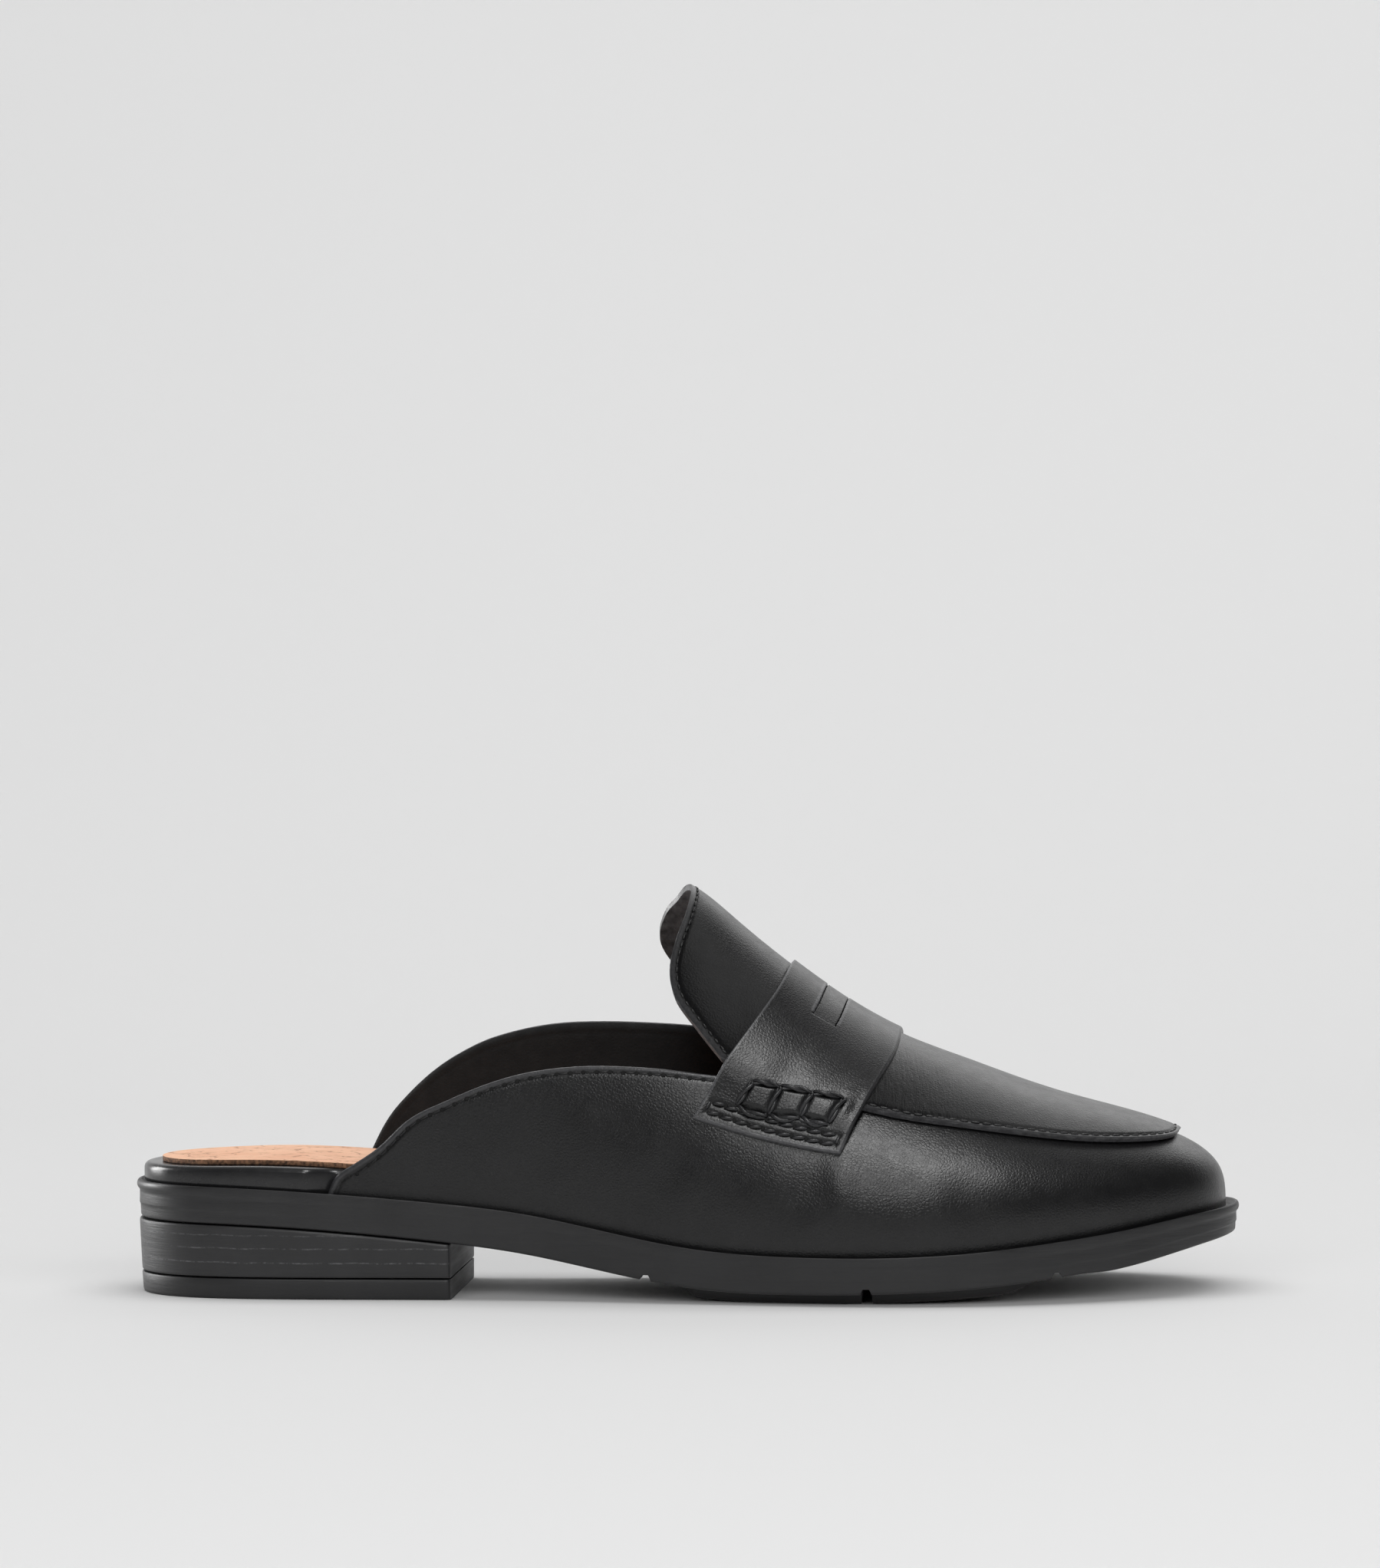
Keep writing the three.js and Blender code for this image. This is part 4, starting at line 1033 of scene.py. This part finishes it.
def makeApron():
    side = 1 - (1 - np.linspace(0, 1, apronSettings["half"] + 1)) ** 1.7
    side = np.unique(np.concatenate([side, np.linspace(0.44, 0.56, 14)]))
    across = np.concatenate([-side[::-1], side[1:]])[None]
    # rows from the tongue's rear edge to the join, then to the toe, finest where the slot lies
    tongue = np.linspace(0, 1, apronSettings["tongueSteps"] + 1) ** 1.6
    spans = ((0, 0.07, 20), (0.07, 0.15, 110), (0.15, 0.3, 40), (0.3, 1, 110))
    toe = 1 + np.unique(np.concatenate([np.linspace(*span) for span in spans]))[1:]
    row = np.concatenate([tongue, toe])[:, None]
    turn, angle = apronPlace(across + 0 * row, row + 0 * across)
    below, thick = size["clearance"], size["apron"]
    middle = lastPoint(turn, angle, below + thick / 2)
    away = distanceTo(middle, lastPoint(*apronEdge(), below + thick / 2))
    rounding = roundEdge(away, apronSettings["round"])
    # the stitches lie in a groove a little inside the edge, further in round the tongue
    groove = stitchGroove(away, np.where(row > 0.93, 1.35, 1.85), 0.3, 0.42)
    shape = groove + slotRise(turn, angle) + creaseHeight("apron_tongue", middle)
    outer = lastPoint(turn, angle, below + thick - rounding + shape)
    inner = lastPoint(turn, angle, below + 0.3 * rounding)
    # the apron's paler edge is partly its real cut core and partly painted highlight
    marks = {"edge": onBoth(edgeMark(away, apronSettings["edge"])), "pull": onBoth(pullMark(middle))}
    rows, columns = outer.shape[:2]
    a, b, c = shellFaces(np.ones((rows - 1, columns - 1), bool))
    c = c[~((c // columns) % rows == rows - 1).all(1)]
    slots = np.repeat([0, 1, 0], [len(a), len(b), len(c)])
    piece = makePiece("apron_tongue", wallPoints(outer, inner), np.concatenate([a, b, c]),
                      [apronLeather, tongueLining], slots, marks=marks)
    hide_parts("apron_tongue")


# --- strap
strapSettings = {"round": 0.5, "slotRound": 0.16, "edge": 0.72, "gap": 0.12, "hemPerMm": 0.0124, "hemRows": (1.9, 3.9)}


def strapPlace(place, across):
    # place runs from the outer hem (-1) over the ridge (0) to the inner hem (1)
    depth = np.abs(place) * mix(hemShares[0], hemShares[1], across)
    at = atOfShare(mix(strapRear(depth), strapFront(depth), across))
    turn = np.where(place <= 0, at, 2 - at)
    gap = strapSettings["gap"]
    rest = mix(size["clearance"] + size["apron"] + gap, gap, smoothStep(*strapSettle, depth))
    return turn, (math.pi / 2) * (1 - depth), rest, depth


def onStrap(place, across, up):
    # a point "up" millimetres above the strap's underside
    turn, angle, rest, _ = strapPlace(place, across)
    return lastPoint(turn, angle, rest + up)


def strapEdges(up):
    # both long edges and both hems, then the slot's own edge
    lines = []
    for end, spans, counts in ((1, (0, 1), (1500, 200)), (slotEnd, slotSpan, (500, 60))):
        place, across = np.linspace(-end, end, counts[0]), np.linspace(*spans, counts[1])
        lines += [onStrap(place, 0 * place + span, up) for span in spans]
        lines += [onStrap(0 * across + hem, across, up) for hem in (-end, end)]
    return np.concatenate(lines)


def strapLine(side, down, across):
    # place on the strap's upper face from its own coordinates
    place = down / mix(hemShares[0], hemShares[1], across) * (-1 if side == 0 else 1)
    turn, angle, rest, _ = strapPlace(place, across)
    return turn, angle, rest + size["strap"]


ladderTop = [(0.606, 0.234), (0.587, 0.42), (0.566, 0.634), (0.5435, 0.856)]
ladderLow = [(0.67, 0.207), (0.66, 0.427), (0.636, 0.634), (0.628, 0.835)]


def ladderSegments():
    pairs = [(row[k], row[k + 1]) for row in (ladderTop, ladderLow) for k in range(3)]
    return pairs + list(zip(ladderTop, ladderLow))


def strapRelief(skin, place, across, depth):
    # leather pressed in under the thread, padded between it, and puckered along the double row
    height = 0 * across
    t = np.linspace(0, 1, 24)
    for side in (0, 1):
        here = (place <= 0) if side == 0 else (place > 0)
        lines = [lastPoint(*strapLine(side, mix(a[0], b[0], t), mix(a[1], b[1], t))) for a, b in ladderSegments()]
        away = distanceTo(skin, np.concatenate(lines))
        top, low = (np.interp(across, *np.array(row).T[::-1]) for row in (ladderTop, ladderLow))
        inside = smoothStep(0, 0.012, depth - top) * smoothStep(0, 0.012, low - depth)
        inside *= smoothStep(0.22, 0.25, across) * smoothStep(0.85, 0.82, across)
        pad = 0.42 * inside * smoothStep(0.1, 1.5, away)
        press = -0.16 * np.exp(-(away / 0.55) ** 2) - 0.12 * np.exp(-(away / 2.4) ** 2) * (1 - inside)
        hem = (mix(hemShares[0], hemShares[1], across) - depth) / strapSettings["hemPerMm"]
        rows = sum(-0.26 * np.exp(-((hem - up) / 0.7) ** 2) for up in strapSettings["hemRows"])
        rows *= smoothStep(0.03, 0.06, across) * smoothStep(0.97, 0.94, across)
        height = height + np.where(here, pad + press + rows, 0)
    return height


def crowded(start, end, count):
    # spacing that is finest at both ends
    return mix(start, end, (1 - np.cos(np.linspace(0, math.pi, count))) / 2)


def makeStrap():
    bend = mix(slotEnd, 1, 1 - (1 - np.linspace(0, 1, 150)) ** 1.25)
    rise = np.concatenate([np.linspace(0, slotEnd, 44), bend[1:]])
    place = np.concatenate([-rise[::-1], rise[1:]])[:, None]
    spans = ((0, slotSpan[0], 34), (*slotSpan, 22), (slotSpan[1], 1, 48))
    across = np.unique(np.concatenate([crowded(*span) for span in spans]))[None]
    turn, angle, rest, depth = strapPlace(place, across)
    thick = size["strap"]
    away = distanceTo(lastPoint(turn, angle, rest + thick / 2), strapEdges(thick / 2))
    # the pale edge is partly painted highlight: the rear edge and the hems catch light, so the front edge keeps little
    # of it, and the slot's two ends none at all
    pale = np.maximum(1 - 0.7 * smoothStep(0.5, 0.9, across), smoothStep(0.9, 0.97, np.abs(place)))
    bySlot = (np.abs(place) < slotEnd + 0.03) & (np.abs(across - (slotSpan[0] + slotSpan[1]) / 2) < 0.16)
    pale = np.where(bySlot & (np.abs(place) > slotEnd - 0.012), 0, pale)
    rounding = np.where(bySlot, roundEdge(away, strapSettings["slotRound"]), roundEdge(away, strapSettings["round"]))
    skin = lastPoint(turn, angle, rest + thick)
    shape = strapRelief(skin, place + 0 * across, across + 0 * place, depth) + creaseHeight("strap", skin)
    outer = lastPoint(turn, angle, rest + thick - rounding + shape)
    inner = lastPoint(turn, angle, rest)
    cellPlace, cellAcross = (place[1:] + place[:-1]) / 2, (across[:, 1:] + across[:, :-1]) / 2
    inSlot = (np.abs(cellPlace) < slotEnd) & (cellAcross > slotSpan[0]) & (cellAcross < slotSpan[1])
    piece = makePiece("strap", wallPoints(outer, inner), np.concatenate(shellFaces(~inSlot)), [strapLeather],
                      marks={"edge": onBoth(edgeMark(away, strapSettings["edge"]) * pale)})
    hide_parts("strap")


makeUpper()
makeApron()
makeStrap()
print("upper, apron and strap made")


# --- seams
def edgeFrame(place, inside, shift):
    # a line "shift" millimetres in from an edge, towards the place "inside", and its normals
    point, normal = surfaceAt(place)
    way = np.cross(normal, unit(np.gradient(point, axis=0)))
    towards = lastPoint(*inside) - point
    way = way * np.where((way * towards).sum(-1, keepdims=True) < 0, -1, 1)
    return point + unit(way) * shift, normal


thread = {"width": 0.55, "height": 0.4, "lift": 0.02, "slot": "black_leather"}
pinhole = {"length": 1.05, "width": 0.95, "height": 0.3, "lift": -0.03, "slot": "black_leather"}
apronThread = thread | {"width": 0.6, "height": 0.55, "lift": -0.13, "slot": "apron_leather"}
hemThread = thread | {"length": 3.5, "width": 1.0, "height": 0.95, "lift": 0.06, "arch": 0.36, "slant": 13,
                      "slot": "strap_leather"}
hemPitch = 3.4
hemHole = {"length": 0.9, "width": 1.15, "height": 0.5, "lift": -0.02, "slot": "strap_leather"}
ladderRadius = 0.86
hemEnd = thread | {"length": 2.2, "width": 0.9, "height": 0.7, "slot": "strap_leather"}


def collarSeams():
    at = atOfShare(np.linspace(0.1985, 0.565, 900))
    pitch = upperSettings["stitchPitch"]
    for name, turn in (("outer", at), ("inner", 2 - at)):
        angle = collarAngle(turn)
        row, normal = edgeFrame((turn, angle, 0.0), (turn, angle * 0.9, 0.0), upperSettings["stitchPlace"])
        look = thread | {"length": 2.2, "lift": -0.17}
        seamStitches(f"collar_stitches_{name}", row, normal, pitch, look, seamThread, 1.0)
        needleHoles(f"collar_hole_shadows_{name}", row, normal, pitch, pinhole, 1.0)


def apronSeams():
    turn, angle = apronEdge()
    offset = size["clearance"] + size["apron"]
    count, flank = len(turn), apronSettings["flank"]
    for name, part, shift, pitch, length, start, end in (
            ("outer", slice(0, flank), 1.15, 2.7, 2.1, 3.0, 0.5),
            ("tongue", slice(flank - 260, count - flank + 260), 1.75, 2.3, 1.55, 0.5, 3.0),
            ("inner", slice(count - flank, count), 1.15, 2.7, 2.1, 0.5, 3.0)):
        t, a = turn[part], angle[part]
        # "inside" is further up, and on the tongue also further forward
        middle = np.where(t <= 1, 0.62, 2 - 0.62) if name == "tongue" else t
        inside = (mix(t, middle, 0.1), mix(a, math.pi / 2, 0.1), offset)
        row, normal = edgeFrame((t, a, offset), inside, shift)
        look = apronThread | {"length": length}
        seamStitches(f"apron_stitches_{name}", row, normal, pitch, look, seamThread, start, end)


def ladderThread(side, name):
    # each stretch dips into the leather at both ends and stands clear between them
    grids = []
    t = np.linspace(0, 1, 40)
    lift = 0.56 * np.sin(math.pi * t) ** 0.4 - 0.26
    for k, (start, end) in enumerate(ladderSegments()):
        # the upper row is drawn up a little, the lower row sags, and the rungs are straight and less twisted
        sag, turns = ((-0.003, 0.9), (0.009, 0.9), (0.0, 0.7))[min(k // 3, 2)]
        down = mix(start[0], end[0], t) + sag * np.sin(math.pi * t)
        point, normal = surfaceAt(strapLine(side, down, mix(start[1], end[1], t)))
        grids += threadTube(point + normal * lift[:, None], normal, ladderRadius, turns)
    faces = tubeFaces(*grids[0].shape[:2], len(grids))
    piece = makePiece(f"ladder_thread_{name}", np.stack(grids).reshape(-1, 3), faces, [waxedThread], sharpAngle=80)


def hemStitches(side, name):
    def onHem(across, up):
        # a line "up" millimetres above the hem
        down = mix(hemShares[0], hemShares[1], across) - up * strapSettings["hemPerMm"]
        return surfaceAt(strapLine(side, down, across + 0 * down))

    for k, up in enumerate(strapSettings["hemRows"]):
        row, normal = onHem(np.linspace(0.06, 0.945 - 0.02 * k, 200), up)
        seamStitches(f"hem_stitches_{name}_{k}", row, normal, hemPitch, hemThread, waxedThread)
        needleHoles(f"hem_hole_shadows_{name}_{k}", row, normal, hemPitch, hemHole)
    # one stitch across each end of the double row
    ends = [onHem(across, np.linspace(1.7, 4.1, 20)) for across in (0.05, 0.945)]
    parts = zip(*[(point[10], point[12] - point[8], normal[10]) for point, normal in ends])
    stitchMesh(f"hem_ends_{name}", *[np.array(part) for part in parts], hemEnd, waxedThread)


collarSeams()
apronSeams()
for side, name in enumerate(("outer", "inner")):
    ladderThread(side, name)
    hemStitches(side, name)
print("seams made")


# --- floor, backdrop and light
studio = {"floor": "#ececec", "world": 0.11, "bendStart": 0.55, "bend": 0.9}
paperSheet = newCollection("paper")


def makeStudio():
    # a plain sheet that rises smoothly behind the shoe
    turn = np.radians(np.linspace(0, 84, 30))
    start, bend = studio["bendStart"], studio["bend"]
    y = np.concatenate([[-3.0], np.linspace(-1.2, start, 12), start + bend * np.sin(turn)[1:], [start + bend + 0.3]])
    z = np.concatenate([np.zeros(13), bend * (1 - np.cos(turn))[1:], [3.4]])
    x = np.linspace(-3.5, 3.5, 9)
    grid = np.stack(np.broadcast_arrays(x[None], y[:, None], z[:, None]), -1)
    mesh = smoothMesh("floor", grid.reshape(-1, 3), gridFaces(len(y), len(x)).tolist())
    paper = bpy.data.materials.new("studio_paper")
    paper.use_nodes = True
    plugIn(paper.node_tree, paper.node_tree.nodes["Principled BSDF"], {
        "Base Color": linear(studio["floor"]), "Roughness": 0.9, "Specular IOR Level": 0.1})
    mesh.materials.append(paper)
    floor = bpy.data.objects.new("floor", mesh)
    paperSheet.objects.link(floor)
    world = bpy.data.worlds.new("studio")
    world.use_nodes = True
    world.node_tree.nodes["Background"].inputs[0].default_value = (studio["world"],) * 3 + (1,)
    bpy.context.scene.world = world


def softLight(name, place, aim, width, height, power, only):
    lamp = bpy.data.lights.new(name, "AREA")
    lamp.shape = "RECTANGLE"
    lamp.size, lamp.size_y, lamp.energy = width, height, power
    light = bpy.data.objects.new(name, lamp)
    bpy.context.scene.collection.objects.link(light)
    turn = (Vector(aim) - Vector(place)).to_track_quat("-Z", "Y").to_matrix().to_4x4()
    light.matrix_world = Matrix.Translation(place) @ turn
    # flagged off, so that it lights only what it is meant for
    light.light_linking.receiver_collection = only


makeStudio()
# the standing tongue is flagged off the two front boxes, which only it would mirror as a patch,
# and has a weak box that only it and the apron's seams see
flagged = newCollection("lit_from_the_front", [p for p in shoe.objects if not p.name.startswith("apron_tongue")])
apronOnly = newCollection("apron_light", [p for p in shoe.objects if p.name.startswith("apron")])
for lamp in (
        ("front", (0.2, -0.78, 1.32), (0.04, 0, 0.05), 0.55, 0.6, 11.5, flagged),
        ("frontLow", (-0.04, -1.3, 0.8), (0.04, 0, 0.05), 0.38, 0.42, 4.2, flagged),
        ("paper", (0.0, 0.25, 2.0), (0, 0.55, 0.0), 3.0, 1.6, 30, paperSheet),
        ("paperFront", (0.4, -1.6, 0.75), (0.1, 0.1, 0), 3.0, 0.8, 23, paperSheet),
        ("overhead", (0.0, 0.55, 2.0), (0, 0.2, 0.0), 2.4, 1.2, 3, shoe),
        ("behind", (0.2, 1.0, 1.0), (0.05, 0, 0.05), 1.4, 1.2, 5.2, shoe),
        ("left", (-1.1, 0.4, 0.3), (-0.12, 0, 0.02), 0.5, 0.6, 9.5, shoe),
        ("tongue", (0.81, -0.36, 1.17), (0.03, 0, 0.06), 1.1, 0.9, 2.2, apronOnly)):
    softLight(*lamp)
bpy.context.scene.view_settings.view_transform = "Standard"
bpy.context.scene.view_settings.look = "None"
print("studio made")
